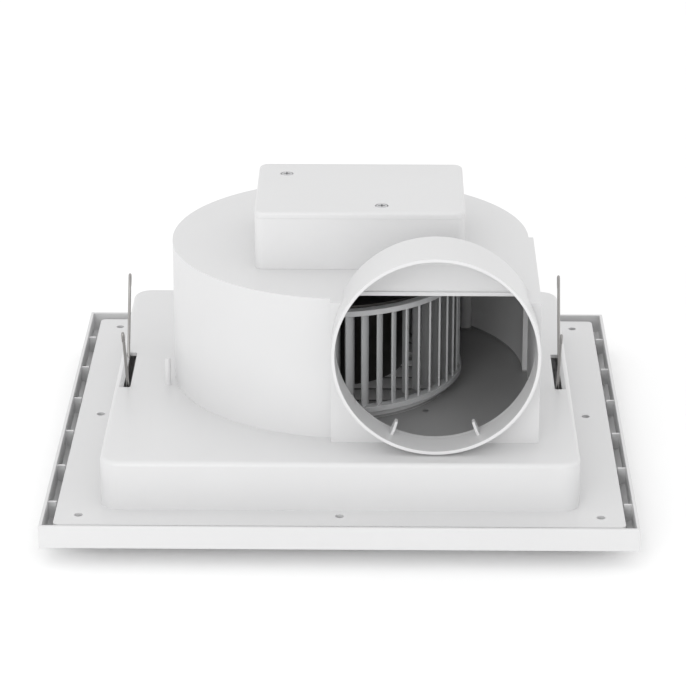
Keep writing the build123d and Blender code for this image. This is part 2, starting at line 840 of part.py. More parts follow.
def bearing(upper):
    low = upper_shield_z - shield_wall
    if not upper:
        low = lower_shield_z + shield_wall - bearing_height
    return tube(bearing_radius, shaft_radius + running_clearance, low, low + bearing_height)


def bracket_arm(x, y, width):
    """A flat arm from the motor's axis to a hole."""
    turn = degrees(atan2(y - axis_y, x - axis_x))
    length = hypot(x - axis_x, y - axis_y)
    arm = block(0, length, -width / 2, width / 2, upper_shield_z, bracket_top_z)
    return Pos(axis_x, axis_y, 0) * Rot(0, 0, turn) * arm + disc(
        width / 2, upper_shield_z, bracket_top_z, x, y
    )


def motor_bracket():
    hole = bearing_radius + bearing_boss_wall + clearance
    bracket = disc(hole + bracket_ring_width, upper_shield_z, bracket_top_z)
    for x, y in mount_places:
        bracket += bracket_arm(x, y, bracket_arm_width)
    for x, y in tie_bolt_places:
        bracket += bracket_arm(x, y, bracket_tab_width)
    span = (upper_shield_z - 1, bracket_top_z + 1)
    bracket -= disc(hole, *span)
    for x, y in tie_bolt_places:
        bracket -= disc(tie_bolt_radius + fastener_clearance, *span, x, y)
    for x, y in mount_places:
        bracket -= disc(motor_screw_radius + fastener_clearance, *span, x, y)
    bracket -= disc(lead_hole_radius, *span, axis_x + lead_hole_offset, axis_y)
    return bracket


def tie_bolts():
    length = bracket_top_z - lower_shield_z
    return group(
        screw(x, y, lower_shield_z, tie_bolt_radius, length, tie_head_radius, tie_head_height, up=True)
        for x, y in tie_bolt_places
    )


def rubber_mounts():
    waist = rubber_radius * 0.8
    height = casing_ceiling_z - bracket_top_z
    lip = height * 0.25
    return group(
        turned(
            [
                (motor_screw_radius + fastener_clearance, bracket_top_z),
                (rubber_radius, bracket_top_z),
                (rubber_radius, bracket_top_z + lip),
                (waist, bracket_top_z + 1.5 * lip),
                (waist, casing_ceiling_z - 1.5 * lip),
                (rubber_radius, casing_ceiling_z - lip),
                (rubber_radius, casing_ceiling_z),
                (motor_screw_radius + fastener_clearance, casing_ceiling_z),
            ],
            x, y,
        )
        for x, y in mount_places
    )


def motor_screws():
    length = casing_top_z - upper_shield_z
    return group(
        screw(x, y, casing_top_z, motor_screw_radius, length, small_head_radius, small_head_height)
        for x, y in mount_places
    )


# ---------------------------------------------------------------- terminal box


def box_plan(inset, z0, z1):
    return rounded_block(
        (box_right_x - box_left_x) / 2 - inset, (box_back_y - box_front_y) / 2 - inset,
        box_corner - inset, z0, z1,
        (box_left_x + box_right_x) / 2, (box_front_y + box_back_y) / 2,
    )


def terminal_box():
    box = box_plan(0, casing_top_z, box_rim_z) - box_plan(wall, casing_top_z - 1, box_rim_z + 1)
    return box - gland_plate_blank(1)


def gland_plate_blank(margin):
    """The stretch of the box's back wall that the gland sits in."""
    return block(
        gland_x - gland_plate_half, gland_x + gland_plate_half,
        box_back_y - wall - margin, box_back_y + margin,
        casing_top_z - margin, box_rim_z + margin,
    )


def gland_plate():
    gland_z = casing_top_z + gland_height
    bore = lying_disc(gland_thread_radius, box_back_y - 2 * wall, box_back_y + 1, gland_x, gland_z)
    return gland_plate_blank(0) - bore


def terminal_box_posts():
    # Each screw post is tied to the nearest long side by a web.
    posts = []
    for (x, y), side_y in zip(lid_screw_places, (box_back_y - wall, box_front_y + wall)):
        near, far = sorted((y, side_y))
        post = block(x - wall / 2, x + wall / 2, near, far, casing_top_z, box_rim_z)
        post += disc(box_post_radius, casing_top_z, box_rim_z, x, y)
        post -= disc(small_screw_radius + fastener_clearance, casing_top_z - 1, box_rim_z + 1, x, y)
        posts.append(post)
    return group(posts)


def terminal_box_lid():
    lid = box_plan(0, box_rim_z, box_top_z)
    lid = fillet(lid.edges().group_by(Axis.Z)[-1], lid_edge)
    for x, y in lid_screw_places:
        lid -= disc(small_screw_radius + fastener_clearance, box_rim_z - 1, box_top_z + 1, x, y)
        lid -= disc(small_head_radius + clearance, box_top_z - small_head_height, box_top_z + 1, x, y)
    return lid


def lid_screws():
    return group(small_screw(x, y, box_top_z - small_head_height) for x, y in lid_screw_places)


def terminal_box_screws():
    return group(small_screw(x, y, casing_ceiling_z, up=True) for x, y in lid_screw_places)


def terminal_places():
    x, y = terminal_block_place
    for number in range(terminal_count):
        offset = (number - (terminal_count - 1) / 2) * terminal_pitch
        for row in (-1, 1):
            yield x + offset, y + row * terminal_row


def terminal_fixing_place():
    x, y = terminal_block_place
    return x + terminal_pitch / 2, y


def terminal_block():
    long, deep, high = terminal_block_size
    x, y = terminal_block_place
    top = casing_top_z + high
    body = block(x - long / 2, x + long / 2, y - deep / 2, y + deep / 2, casing_top_z, top)
    fix_x, fix_y = terminal_fixing_place()
    body -= disc(small_screw_radius + fastener_clearance, casing_top_z - 1, top + 1, fix_x, fix_y)
    body -= disc(small_head_radius + clearance, top - terminal_sink, top + 1, fix_x, fix_y)
    for place in terminal_places():
        body -= disc(terminal_screw_radius + fastener_clearance, top - terminal_screw_length, top + 1, *place)
        body -= disc(terminal_head_radius + clearance, top - terminal_head_height, top + 1, *place)
    return body


def terminal_screws():
    seat = casing_top_z + terminal_block_size[2] - terminal_head_height
    return group(
        screw(
            x, y, seat, terminal_screw_radius, terminal_screw_length - terminal_head_height,
            terminal_head_radius, terminal_head_height,
        )
        for x, y in terminal_places()
    )


def terminal_block_screw():
    seat = casing_top_z + terminal_block_size[2] - terminal_sink
    length = seat - casing_ceiling_z
    x, y = terminal_fixing_place()
    return screw(x, y, seat, small_screw_radius, length, small_head_radius, small_head_height)


def capacitor_clip_screw_place():
    x, y = capacitor_place
    return x - capacitor_size[0] / 2 - clip_foot / 2 - clip_thickness, y


def run_capacitor():
    long, deep, high = capacitor_size
    x, y = capacitor_place
    can = block(x - long / 2, x + long / 2, y - deep / 2, y + deep / 2, casing_top_z, casing_top_z + high)
    return fillet(can.edges().filter_by(Axis.Z), capacitor_corner)


def capacitor_clip():
    long, deep, high = capacitor_size
    x, y = capacitor_place
    left = x - long / 2 - clip_thickness
    right = x + long / 2 + clip_thickness
    top = casing_top_z + high + clip_thickness
    front, back = y - clip_width / 2, y + clip_width / 2
    clip = block(left, right, front, back, casing_top_z, top)
    clip -= block(left + clip_thickness, right - clip_thickness, front - 1, back + 1, 0, top - clip_thickness)
    clip += block(left - clip_foot, left + clip_thickness / 2, front, back, casing_top_z, casing_top_z + clip_thickness)
    foot_x, foot_y = capacitor_clip_screw_place()
    return clip - disc(small_screw_radius + fastener_clearance, casing_top_z - 1, casing_top_z + 2, foot_x, foot_y)


def clip_screw():
    x, y = capacitor_clip_screw_place()
    return screw(
        x, y, casing_top_z + clip_thickness, small_screw_radius, clip_thickness + wall,
        small_head_radius, small_head_height,
    )


def clamp_screw_places():
    half = clamp_size[0] / 2 - small_head_radius
    return [(gland_x - half, clamp_y), (gland_x + half, clamp_y)]


def cable_clamp():
    """A bar that presses the supply cable down, on two pillars."""
    long, deep, thick = clamp_size
    base = casing_top_z
    bar_z = casing_top_z + gland_height - gland_bore_radius
    front, back = clamp_y - deep / 2, clamp_y + deep / 2
    body = block(gland_x - long / 2, gland_x + long / 2, front, back, bar_z - thick, bar_z)
    for x, y in clamp_screw_places():
        body += block(x - small_head_radius, x + small_head_radius, front, back, base, bar_z)
    for x, y in clamp_screw_places():
        body -= disc(small_screw_radius + fastener_clearance, base - 1, bar_z + 1, x, y)
    return body


def clamp_screws():
    bar_z = casing_top_z + gland_height - gland_bore_radius
    return group(
        screw(
            x, y, bar_z, small_screw_radius, bar_z - casing_ceiling_z,
            small_head_radius, small_head_height,
        )
        for x, y in clamp_screw_places()
    )


def cable_gland():
    z = casing_top_z + gland_height
    inside = box_back_y - wall
    nut = Rot(-90, 0, 0) * hexagon(gland_nut_across, gland_nut_length)
    gland = Pos(gland_x, box_back_y, z) * nut
    dome_y = box_back_y + gland_nut_length
    dome = lying_disc(gland_dome_radius, dome_y, dome_y + gland_dome_length, gland_x, z)
    dome = fillet(dome.edges().group_by(Axis.Y)[-1], gland_dome_length * 0.5)
    gland += dome
    gland += lying_disc(gland_thread_radius, inside - gland_ring_length, box_back_y, gland_x, z)
    gland -= lying_disc(gland_bore_radius, inside - gland_ring_length - 1, dome_y + gland_dome_length + 1, gland_x, z)
    return gland


def gland_nut():
    z = casing_top_z + gland_height
    inside = box_back_y - wall
    nut = Pos(gland_x, inside - gland_ring_length, z) * Rot(-90, 0, 0) * hexagon(gland_nut_across, gland_ring_length)
    return nut - lying_disc(gland_thread_radius, inside - gland_ring_length - 1, inside + 1, gland_x, z)


def lead_grommet():
    x = axis_x + lead_hole_offset
    return turned(
        [
            (grommet_bore, casing_ceiling_z - grommet_lip),
            (lead_hole_radius + grommet_rim, casing_ceiling_z - grommet_lip),
            (lead_hole_radius + grommet_rim, casing_ceiling_z),
            (lead_hole_radius, casing_ceiling_z),
            (lead_hole_radius, casing_top_z),
            (lead_hole_radius + grommet_rim, casing_top_z),
            (lead_hole_radius + grommet_rim, casing_top_z + grommet_lip),
            (grommet_bore, casing_top_z + grommet_lip),
        ],
        x, axis_y,
    )


def motor_leads():
    """Three leads from the motor's top, through the grommet, to the terminal block."""
    start_x = axis_x + lead_hole_offset
    block_y = terminal_block_place[1]
    end_x = terminal_block_place[0] - terminal_block_size[0] / 2
    top = casing_top_z + lead_height
    leads = []
    for number in (-1, 0, 1):
        shift = number * lead_spacing
        line = FilletPolyline(
            (start_x, axis_y + shift, upper_shield_z),
            (start_x, axis_y + shift, top),
            (start_x + lead_run, block_y + shift, top),
            (end_x, block_y + shift, top),
            radius=lead_bend,
        )
        section = Plane(origin=line @ 0, z_dir=line % 0) * Circle(lead_radius)
        leads.append(sweep(section, path=line))
    return group(leads)


# ---------------------------------------------------------------- all pieces

pieces = {
    "cover_grille": cover_grille(),
    "spring_pins": spring_pins(),
    "spring_coil_left": spring_coil(-1),
    "spring_coil_right": spring_coil(1),
    "spring_arm_left_front": spring_arm(-1, -1),
    "spring_arm_left_back": spring_arm(-1, 1),
    "spring_arm_right_front": spring_arm(1, -1),
    "spring_arm_right_back": spring_arm(1, 1),
    "housing_tray": housing_tray(),
    "volute_casing": volute_casing(),
    "duct_collar": duct_collar(),
    "inlet_ring": inlet_ring(),
    "casing_screws": casing_screws(),
    "inlet_screws": inlet_screws(),
    "impeller_blades": impeller_blade_set(),
    "impeller_rings": impeller_rings(),
    "impeller_cup": impeller_cup(),
    "cage_rivets": cage_rivets(),
    "hub_washer": hub_washer(),
    "hub_nut": hub_nut(),
    "motor_shaft": motor_shaft(),
    "rotor_core": rotor_core(),
    "stator_core": stator_core(),
    "stator_windings": stator_windings(),
    "end_shield_lower": end_shield(upper=False),
    "end_shield_upper": end_shield(upper=True),
    "bearing_lower": bearing(upper=False),
    "bearing_upper": bearing(upper=True),
    "motor_bracket": motor_bracket(),
    "tie_bolts": tie_bolts(),
    "rubber_mounts": rubber_mounts(),
    "motor_screws": motor_screws(),
    "terminal_box": terminal_box(),
    "gland_plate": gland_plate(),
    "terminal_box_posts": terminal_box_posts(),
    "terminal_box_lid": terminal_box_lid(),
    "lid_screws": lid_screws(),
    "terminal_box_screws": terminal_box_screws(),
    "terminal_block": terminal_block(),
    "terminal_screws": terminal_screws(),
    "terminal_block_screw": terminal_block_screw(),
    "run_capacitor": run_capacitor(),
    "capacitor_clip": capacitor_clip(),
    "clip_screw": clip_screw(),
    "cable_clamp": cable_clamp(),
    "clamp_screws": clamp_screws(),
    "cable_gland": cable_gland(),
    "gland_nut": gland_nut(),
    "lead_grommet": lead_grommet(),
    "motor_leads": motor_leads(),
}

os.makedirs("parts", exist_ok=True)
for name, shape in pieces.items():
    export_step(shape, f"parts/{name}.step")
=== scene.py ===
# %% [markdown]
# # A ceiling extractor fan
# The engineering model fixes every size, place and motion. This lesson builds the looks on top of
# it: thin moulded walls with softened edges, a wheel of curved blades, wire springs, and a finish
# for each material. It works in millimetres and turns each mesh into metres at the end.

# %% Load the fixed frame
import json
from math import asin, cos, hypot, pi, radians, sin, sqrt

import bmesh
import bpy
from mathutils import Matrix, Vector


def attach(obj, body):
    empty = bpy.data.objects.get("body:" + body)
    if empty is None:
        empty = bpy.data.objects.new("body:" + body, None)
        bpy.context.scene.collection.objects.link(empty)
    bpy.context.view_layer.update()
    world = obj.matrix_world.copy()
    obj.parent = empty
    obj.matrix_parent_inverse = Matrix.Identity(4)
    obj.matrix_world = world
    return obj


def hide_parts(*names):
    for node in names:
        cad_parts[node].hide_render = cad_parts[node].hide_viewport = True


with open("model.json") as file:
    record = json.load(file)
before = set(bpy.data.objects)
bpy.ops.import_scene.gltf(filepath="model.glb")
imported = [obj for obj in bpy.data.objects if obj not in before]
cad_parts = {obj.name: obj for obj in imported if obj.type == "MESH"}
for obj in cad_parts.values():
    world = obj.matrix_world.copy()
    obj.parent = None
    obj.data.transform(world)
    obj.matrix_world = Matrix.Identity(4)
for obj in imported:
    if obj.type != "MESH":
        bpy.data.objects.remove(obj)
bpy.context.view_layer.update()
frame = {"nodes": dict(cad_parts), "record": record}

MM = 0.001
AXIS = (-6.5, -5.0)  # where the motor's shaft stands
DRUM = (4.0, 2.0)  # the drum's centre, to one side of the shaft
WALL = 2.0
DRUM_RADIUS = 92.5196 + WALL
PLINTH_TOP = 46.0
OUTLET_FRONT = DRUM[1] - DRUM_RADIUS - 5.5
OUTLET_RIGHT = DRUM[0] + DRUM_RADIUS + 2.5
OUTLET_LEFT = OUTLET_RIGHT - 106.0
PIVOT_SIDE = 116.0  # the spring pins' distance from the middle
PIVOT_HEIGHT = 12.5
SCREW_HOLE = 1.65

# %% [markdown]
# ## Writing a finish as arithmetic
# A material is a graph of nodes, and patterns such as "grain minus a scratch" are sums of sockets.
# Wiring each sum by hand hides the idea, so one small class wraps a socket and gives it +, - and *.
# Every other node comes from a single method: its settings first, then what feeds its sockets.

# %% A socket that can stand in a sum, and a finish that owns its nodes
class Wire:
    """A node's output, usable in Python arithmetic."""

    def __init__(self, finish, socket):
        self.finish = finish
        self.socket = socket

    def math(self, operation, first, second):
        return self.finish.add("Math", {"operation": operation}, {0: first, 1: second})

    def __add__(self, other):
        return self.math("ADD", self, other)

    def __sub__(self, other):
        return self.math("SUBTRACT", self, other)

    def __mul__(self, other):
        return self.math("MULTIPLY", self, other)

    def __rsub__(self, other):
        return self.math("SUBTRACT", other, self)

    def __gt__(self, other):
        return self.math("GREATER_THAN", self, other)

    def __lt__(self, other):
        return self.math("LESS_THAN", self, other)

    __radd__ = __add__
    __rmul__ = __mul__


class Finish:
    """One material: a shader, its fixed values, and the nodes that feed it."""

    def __init__(self, name, **fixed):
        self.material = bpy.data.materials.new(name)
        self.material.use_nodes = True
        self.tree = self.material.node_tree
        self.tree.nodes.clear()
        self.shader = self.tree.nodes.new("ShaderNodeBsdfPrincipled")
        output = self.tree.nodes.new("ShaderNodeOutputMaterial")
        self.tree.links.new(self.shader.outputs["BSDF"], output.inputs["Surface"])
        for key, value in fixed.items():
            self.shader.inputs[key.replace("_", " ")].default_value = value
        self.place = self.add("TexCoord", output="Object")

    def add(self, kind, settings=None, inputs=None, output=0):
        """Adds a node: its settings come first, then the values or wires of its sockets."""
        node = self.tree.nodes.new("ShaderNode" + kind)
        for key, value in (settings or {}).items():
            if key == "stops":
                while len(node.color_ramp.elements) < len(value):
                    node.color_ramp.elements.new(1.0)
                for element, (position, colour) in zip(node.color_ramp.elements, value):
                    element.position = position
                    element.color = colour
            else:
                setattr(node, key, value)
        for key, value in (inputs or {}).items():
            if isinstance(value, Wire):
                self.tree.links.new(value.socket, node.inputs[key])
            else:
                node.inputs[key].default_value = value
        return Wire(self, node.outputs[output])

    def feed(self, **wires):
        for key, wire in wires.items():
            self.tree.links.new(wire.socket, self.shader.inputs[key.replace("_", " ")])
        return self

    def math_max(self, first, second):
        return self.add("Math", {"operation": "MAXIMUM"}, {0: first, 1: second})

    def noise(self, scale, detail=2.0, stretch=None):
        place = self.place
        if stretch:
            place = self.add("Mapping", None, {"Vector": place, "Scale": stretch})
        return self.add("TexNoise", None, {"Vector": place, "Scale": scale, "Detail": detail})

    def blend(self, factor, first, second):
        """A colour between two colours."""
        return self.add("Mix", {"data_type": "RGBA"}, {0: factor, 6: first, 7: second}, output=2)

    def bump(self, height, depth, strength=1.0):
        """A bump of that depth in metres."""
        return self.add("Bump", None, {"Height": height, "Distance": depth, "Strength": strength})

    def steps(self, factor, low, high):
        """A smooth switch from 0 at low to 1 at high."""
        return self.add("MapRange", {"interpolation_type": "SMOOTHSTEP"},
                        {"Value": factor, "From Min": low, "From Max": high})


def shade(colour, by):
    return tuple(min(1.0, c * by) for c in colour) + (1.0,)


print("a finish can now be written as sums of patterns")

# %% [markdown]
# ## White moulded plastic
# The housing and the cover are satin white ABS. A mould leaves a fine even grain, and the surface
# is never quite one tone: thick places cool more slowly, and handling leaves faint duller patches.
# Fine noise makes the grain, broad noise shifts the tone, and long thin noise adds hair scuffs. A
# mask drawn from plain comparisons paints shade on the tray's top where the casing hides it.

# %% Plastics
def plastic(name, colour, rough, grain=1400.0, depth=0.00002, tone=0.035, painted_shade_mask=None, **fixed):
    """A moulded plastic: fine grain, broad tone shifts, a few hair scuffs, and painted shade where a mask
    asks for it.
    """
    f = Finish(name, **fixed)
    broad = f.noise(9.0, 3.0)
    fine = f.noise(grain, 2.0)
    scuff = f.steps(f.noise(140.0, 4.0, (1.0, 0.06, 0.3)), 0.60, 0.74)
    patch = f.noise(38.0, 4.0)
    hue = f.blend(broad * 0.7 + patch * 0.3, shade(colour, 1 - tone), shade(colour, 1 + tone))
    if painted_shade_mask:
        # painted shade: where the mask is 1, the colour drops to half, standing in for the shadow inside the
        # casing
        hue = f.blend(painted_shade_mask(f), hue, shade(colour, 0.5))
    f.feed(
        Base_Color=hue,
        Roughness=rough - 0.06 + patch * 0.12 + scuff * 0.06,
        Normal=f.bump(fine + patch * 0.5 - scuff * 0.3, depth),
    )
    return f.material


def painted_shade_under_casing(f):
    """1 on the tray's top under the casing, where painted shade stands for the casing's shadow, and 0
    elsewhere.
    """
    x, y, z = (f.add("SeparateXYZ", None, {0: f.place}, output=axis) for axis in range(3))
    flat = f.add("CombineXYZ", None, {0: x - DRUM[0] * MM, 1: y - DRUM[1] * MM})
    drum = f.add("VectorMath", {"operation": "LENGTH"}, {0: flat}, output=1) < (DRUM_RADIUS - 1) * MM
    across = (x > OUTLET_LEFT * MM) * (x < OUTLET_RIGHT * MM)
    block = across * (y > (OUTLET_FRONT + 1) * MM) * (y < DRUM[1] * MM)
    level = (z > (PLINTH_TOP - 0.1) * MM) * (z < (PLINTH_TOP + 1) * MM)
    return f.math_max(drum, block) * level


finishes = {
    # white_abs carries painted shade on the tray's top inside the casing
    "white_abs": plastic("white_abs", (0.70, 0.70, 0.703), 0.34, painted_shade_mask=painted_shade_under_casing, IOR=1.53),
    "wheel_plastic": plastic("wheel_plastic", (0.52, 0.525, 0.53), 0.46, grain=900.0, depth=0.00003),
    "capacitor_case": plastic("capacitor_case", (0.80, 0.81, 0.82), 0.30),
    "terminal_nylon": plastic("terminal_nylon", (0.74, 0.73, 0.67), 0.42, grain=700.0),
    "gland_nylon": plastic("gland_nylon", (0.62, 0.63, 0.64), 0.40, grain=800.0),
    "lead_sleeve": plastic("lead_sleeve", (0.05, 0.11, 0.30), 0.36, grain=600.0, tone=0.12),
    "black_rubber": plastic("black_rubber", (0.024, 0.024, 0.025), 0.68, grain=420.0,
                            depth=0.00006, tone=0.2),
}
print("plastics:", sorted(finishes))

# %% [markdown]
# ## Metals
# The pressed cup and the bracket are zinc plated, with the faint crystals that zinc grows. Screws
# and springs are drawn wire, so their scratches run one way. Copper is wound in many turns, and
# the stator is a stack of thin sheets, so a fine striped bump shows both.

# %% Metals
def metal(name, colour, rough, crystals=0.0, scratch=(1.0, 1.0, 0.04), layers=0.0, dirt=0.18, **fixed):
    """A metal with optional zinc crystals, one-way scratches and stacked layers."""
    f = Finish(name, Metallic=1.0, **fixed)
    lines = f.noise(1100.0, 3.0, scratch)
    worn = f.noise(45.0, 5.0)
    tint = worn
    height = lines * 0.6
    if crystals:
        cells = f.add("TexVoronoi", {"feature": "F1"}, {"Vector": f.place, "Scale": crystals},
                      output="Color")
        tone = f.add("SeparateColor", None, {0: cells})
        tint = worn * 0.5 + tone * 0.5
        height = height + tone * 0.4
    if layers:
        bands = f.add("TexWave", {"wave_type": "BANDS", "bands_direction": "Z"},
                      {"Vector": f.place, "Scale": layers, "Distortion": 0.2})
        tint = tint * 0.6 + bands * 0.4
        height = height + bands * 1.5
    f.feed(
        Base_Color=f.blend(tint, shade(colour, 1 - dirt), shade(colour, 1 + dirt * 0.6)),
        Roughness=rough - 0.08 + worn * 0.16 + lines * 0.05,
        Normal=f.bump(height, 0.00004, 0.8),
    )
    return f.material


finishes.update({
    "zinc_steel": metal("zinc_steel", (0.085, 0.082, 0.078), 0.42, crystals=260.0),
    "screw_steel": metal("screw_steel", (0.58, 0.58, 0.59), 0.30),
    "rivet_aluminium": metal("rivet_aluminium", (0.72, 0.72, 0.73), 0.34),
    "spring_steel": metal("spring_steel", (0.40, 0.39, 0.38), 0.33, dirt=0.3),
    "stator_steel": metal("stator_steel", (0.16, 0.16, 0.17), 0.45, layers=320.0, Coat_Weight=0.3),
    "winding_copper": metal("winding_copper", (0.60, 0.27, 0.12), 0.30, layers=260.0, Coat_Weight=0.5),
    "bearing_bronze": metal("bearing_bronze", (0.50, 0.34, 0.17), 0.42, crystals=900.0),
    "terminal_brass": metal("terminal_brass", (0.70, 0.54, 0.26), 0.28),
})
print("finishes:", len(finishes))

# %% [markdown]
# ## From a mesh under work to a finished piece
# Each piece is shaped in a bmesh and ends the same way: doubled points merge, faces are turned to
# point outwards, and the whole is scaled to metres. A sheet gets its wall from a Solidify modifier,
# and a narrow Bevel catches the light on every edge, as a real mould's radius does.

# %% Finish a piece
def up_is_out(bm, toward):
    """Turns a sheet over if its furthest face looks the wrong way."""
    far = max(bm.faces, key=lambda face: face.calc_center_median().dot(toward))
    if far.normal.dot(toward) < 0:
        bmesh.ops.reverse_faces(bm, faces=bm.faces)


def make_piece(name, bm, body, slot, nodes, bevel=0.3, wall=0.0, toward=(0, 0, 1), segments=2):
    """Makes the object, gives it its finish and body, and lets it stand for its CAD nodes."""
    bmesh.ops.remove_doubles(bm, verts=bm.verts, dist=0.002)
    bmesh.ops.recalc_face_normals(bm, faces=bm.faces)
    gaps = sum(edge.is_boundary for edge in bm.edges)
    if wall:
        up_is_out(bm, Vector(toward))
    bmesh.ops.scale(bm, vec=(MM, MM, MM), verts=bm.verts)
    mesh = bpy.data.meshes.new(name)
    bm.to_mesh(mesh)
    bm.free()
    mesh.polygons.foreach_set("use_smooth", [True] * len(mesh.polygons))
    piece = bpy.data.objects.new(name, mesh)
    bpy.context.scene.collection.objects.link(piece)
    mesh.materials.append(finishes[slot])
    if wall:
        solidify = piece.modifiers.new("wall", "SOLIDIFY")
        solidify.thickness = wall * MM
        solidify.offset = -1.0
        solidify.use_even_offset = True
        solidify.use_quality_normals = True
    if bevel:
        edge = piece.modifiers.new("edge", "BEVEL")
        edge.width = bevel * MM
        edge.segments = segments
        edge.limit_method = "ANGLE"
        edge.angle_limit = radians(35)
        edge.harden_normals = True
    else:
        mesh.set_sharp_from_angle(angle=radians(35))
    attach(piece, body)
    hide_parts(*nodes)
    print(name, "stands for", ", ".join(nodes), "with", len(mesh.polygons), "faces and", gaps, "open edges")


# %% [markdown]
# ## Shared ways to start a shape
# Most pieces here are one of four things: a bar bent round a square, a plan with rounded corners, a
# flat sheet with holes, or a section turned about an axis. Each has a small helper that leaves the
# work to bmesh operators, so the piece itself reads as its section and its sizes.

# %% Helpers for bars, plans, sheets and turned shapes
def box(bm, x0, x1, y0, y1, z0, z1):
    """A bar between two corners."""
    place = Matrix.Translation(((x0 + x1) / 2, (y0 + y1) / 2, (z0 + z1) / 2))
    size = Matrix.Diagonal((x1 - x0, y1 - y0, z1 - z0, 1))
    return bmesh.ops.create_cube(bm, size=1, matrix=place @ size)["verts"]


def edges_of(verts):
    """The edges that run between these points only."""
    chosen = set(verts)
    return list({e for v in verts for e in v.link_edges if set(e.verts) <= chosen})


def square_ring(bm, section):
    """A mitred square bar. The section is a closed outline of (half side, height) points."""
    corner = [bm.verts.new((half, half, z)) for half, z in section]
    edges = [bm.edges.new(pair) for pair in zip(corner, corner[1:] + corner[:1])]
    bmesh.ops.spin(bm, geom=corner + edges, cent=(0, 0, 0), axis=(0, 0, 1), angle=2 * pi, steps=4,
                   use_merge=True, use_normal_flip=False, use_duplicate=False)


def rounded_plan(bm, x0, x1, y0, y1, corner, z, steps=8):
    """A flat face with rounded corners."""
    before = set(bm.faces)
    place = Matrix.Translation(((x0 + x1) / 2, (y0 + y1) / 2, z))
    size = Matrix.Diagonal(((x1 - x0) / 2, (y1 - y0) / 2, 1, 1))
    plan = bmesh.ops.create_grid(bm, x_segments=1, y_segments=1, size=1, matrix=place @ size)
    bmesh.ops.bevel(bm, geom=plan["verts"], offset=corner, offset_type="OFFSET", segments=steps,
                    profile=0.5, affect="VERTICES", material=-1)
    return (set(bm.faces) - before).pop()


def rim_of(bm, face):
    """Opens a face and leaves the ring of edges round it."""
    edges = list(face.edges)
    bmesh.ops.delete(bm, geom=[face], context="FACES_ONLY")
    return edges


def ring(bm, radius, x, y, z, segments=32, turn=None):
    """A ring of edges, lying flat unless it is turned."""
    place = Matrix.Translation((x, y, z))
    if turn:
        place = place @ turn
    circle = bmesh.ops.create_circle(bm, segments=segments, radius=radius, matrix=place)
    return edges_of(circle["verts"])


def fill(bm, rings, normal=(0, 0, 1)):
    """Fills an outline, and leaves open the rings that lie inside it."""
    edges = [edge for one in rings for edge in one]
    made = bmesh.ops.triangle_fill(bm, use_beauty=True, use_dissolve=False, edges=edges,
                                   normal=normal)
    return [part for part in made["geom"] if isinstance(part, bmesh.types.BMFace)]


def soften(bm, edges, offset, steps):
    """Rounds edges over this far on each side."""
    bmesh.ops.bevel(bm, geom=edges, offset=offset, offset_type="OFFSET", segments=steps,
                    profile=0.5, affect="EDGES", material=-1)


def raise_faces(bm, faces, vector):
    """Extrudes faces along a vector and returns the moved copies."""
    made = bmesh.ops.extrude_face_region(bm, geom=faces)["geom"]
    bmesh.ops.translate(bm, vec=vector, verts=[p for p in made if isinstance(p, bmesh.types.BMVert)])
    return [part for part in made if isinstance(part, bmesh.types.BMFace)]


def raise_edges(bm, edges, vector):
    """Extrudes a ring of edges along a vector and returns the moved ring."""
    made = bmesh.ops.extrude_edge_only(bm, edges=edges)["geom"]
    bmesh.ops.translate(bm, vec=vector, verts=[p for p in made if isinstance(p, bmesh.types.BMVert)])
    return [part for part in made if isinstance(part, bmesh.types.BMEdge)]


def turned(bm, outline, x, y, close=True, segments=96):
    """A section of (radius, height) points turned about an upright axis."""
    points = [bm.verts.new((x + radius, y, z)) for radius, z in outline]
    following = points[1:] + points[:1] if close else points[1:]
    edges = [bm.edges.new(pair) for pair in zip(points, following)]
    bmesh.ops.spin(bm, geom=points + edges, cent=(x, y, 0), axis=(0, 0, 1), angle=2 * pi,
                   steps=segments, use_merge=True, use_normal_flip=False, use_duplicate=False)


def prism(bm, outline, vector):
    """An outline of a few points, extruded along a vector."""
    points = [bm.verts.new(point) for point in outline]
    raise_faces(bm, [bm.faces.new(points)], vector)


print("helpers ready")

# %% [markdown]
# ## The cover
# The cover hides the ceiling opening. Its border slopes back to a thin rim, and five louvre blades
# lean inwards like the sides of a stepped pyramid, so nobody can look straight up at the wheel.
# Each blade is one bar bent round a square: its section stands at a corner and is spun in four
# steps, which mitres the corners exactly. A loop makes all five, each a little smaller.

# %% Cover: border, louvre blades, centre plate and cross ribs
RIM_HALF = 150.0
RIM_WALL = 1.7
RIM_BACK = 22.0
CREST_HALF = 123.0
SLOT_HALF = 108.0
BLADE_PITCH = 17.0
BLADE_RUN = 11.5
BLADE_THICK = 2.4
BLADE_FRONT = SLOT_HALF - 5
BORDER_RISE = 10.0 / 27.0
THROAT_RISE = 9.0 / 15.0
BORDER_BACK = WALL * sqrt(1 + BORDER_RISE**2)
THROAT_BACK = WALL * sqrt(1 + THROAT_RISE**2)


def border_back(half):
    """Height of the border's back surface."""
    if half < CREST_HALF:
        return THROAT_BACK + (CREST_HALF - half) * THROAT_RISE
    return BORDER_BACK + (half - CREST_HALF) * BORDER_RISE


bm = bmesh.new()
inner = RIM_HALF - RIM_WALL
square_ring(bm, [
    (RIM_HALF, RIM_BACK), (RIM_HALF, 10), (CREST_HALF, 0), (SLOT_HALF, 9),
    (SLOT_HALF, 9 + THROAT_BACK), (CREST_HALF, THROAT_BACK), (inner, border_back(inner)),
    (inner, RIM_BACK),
])
for number in range(5):
    front = BLADE_FRONT - number * BLADE_PITCH
    deep = front - BLADE_RUN
    square_ring(bm, [
        (front, 1), (deep, 1 + BLADE_RUN), (deep - BLADE_THICK, 1 + BLADE_RUN),
        (front - BLADE_THICK, 1),
    ])
print("border and louvre blades:", len(bm.faces), "faces")

# %% [markdown]
# ## What holds the cover together
# A plate closes the middle, and a thin rib on each side ties it to the blades and the border. Small
# stiffeners stand behind the rim. One side is built and turned by a quarter, four times over. The
# two pairs of lugs carry the spring pins, and their tops are rounded so that nothing catches.

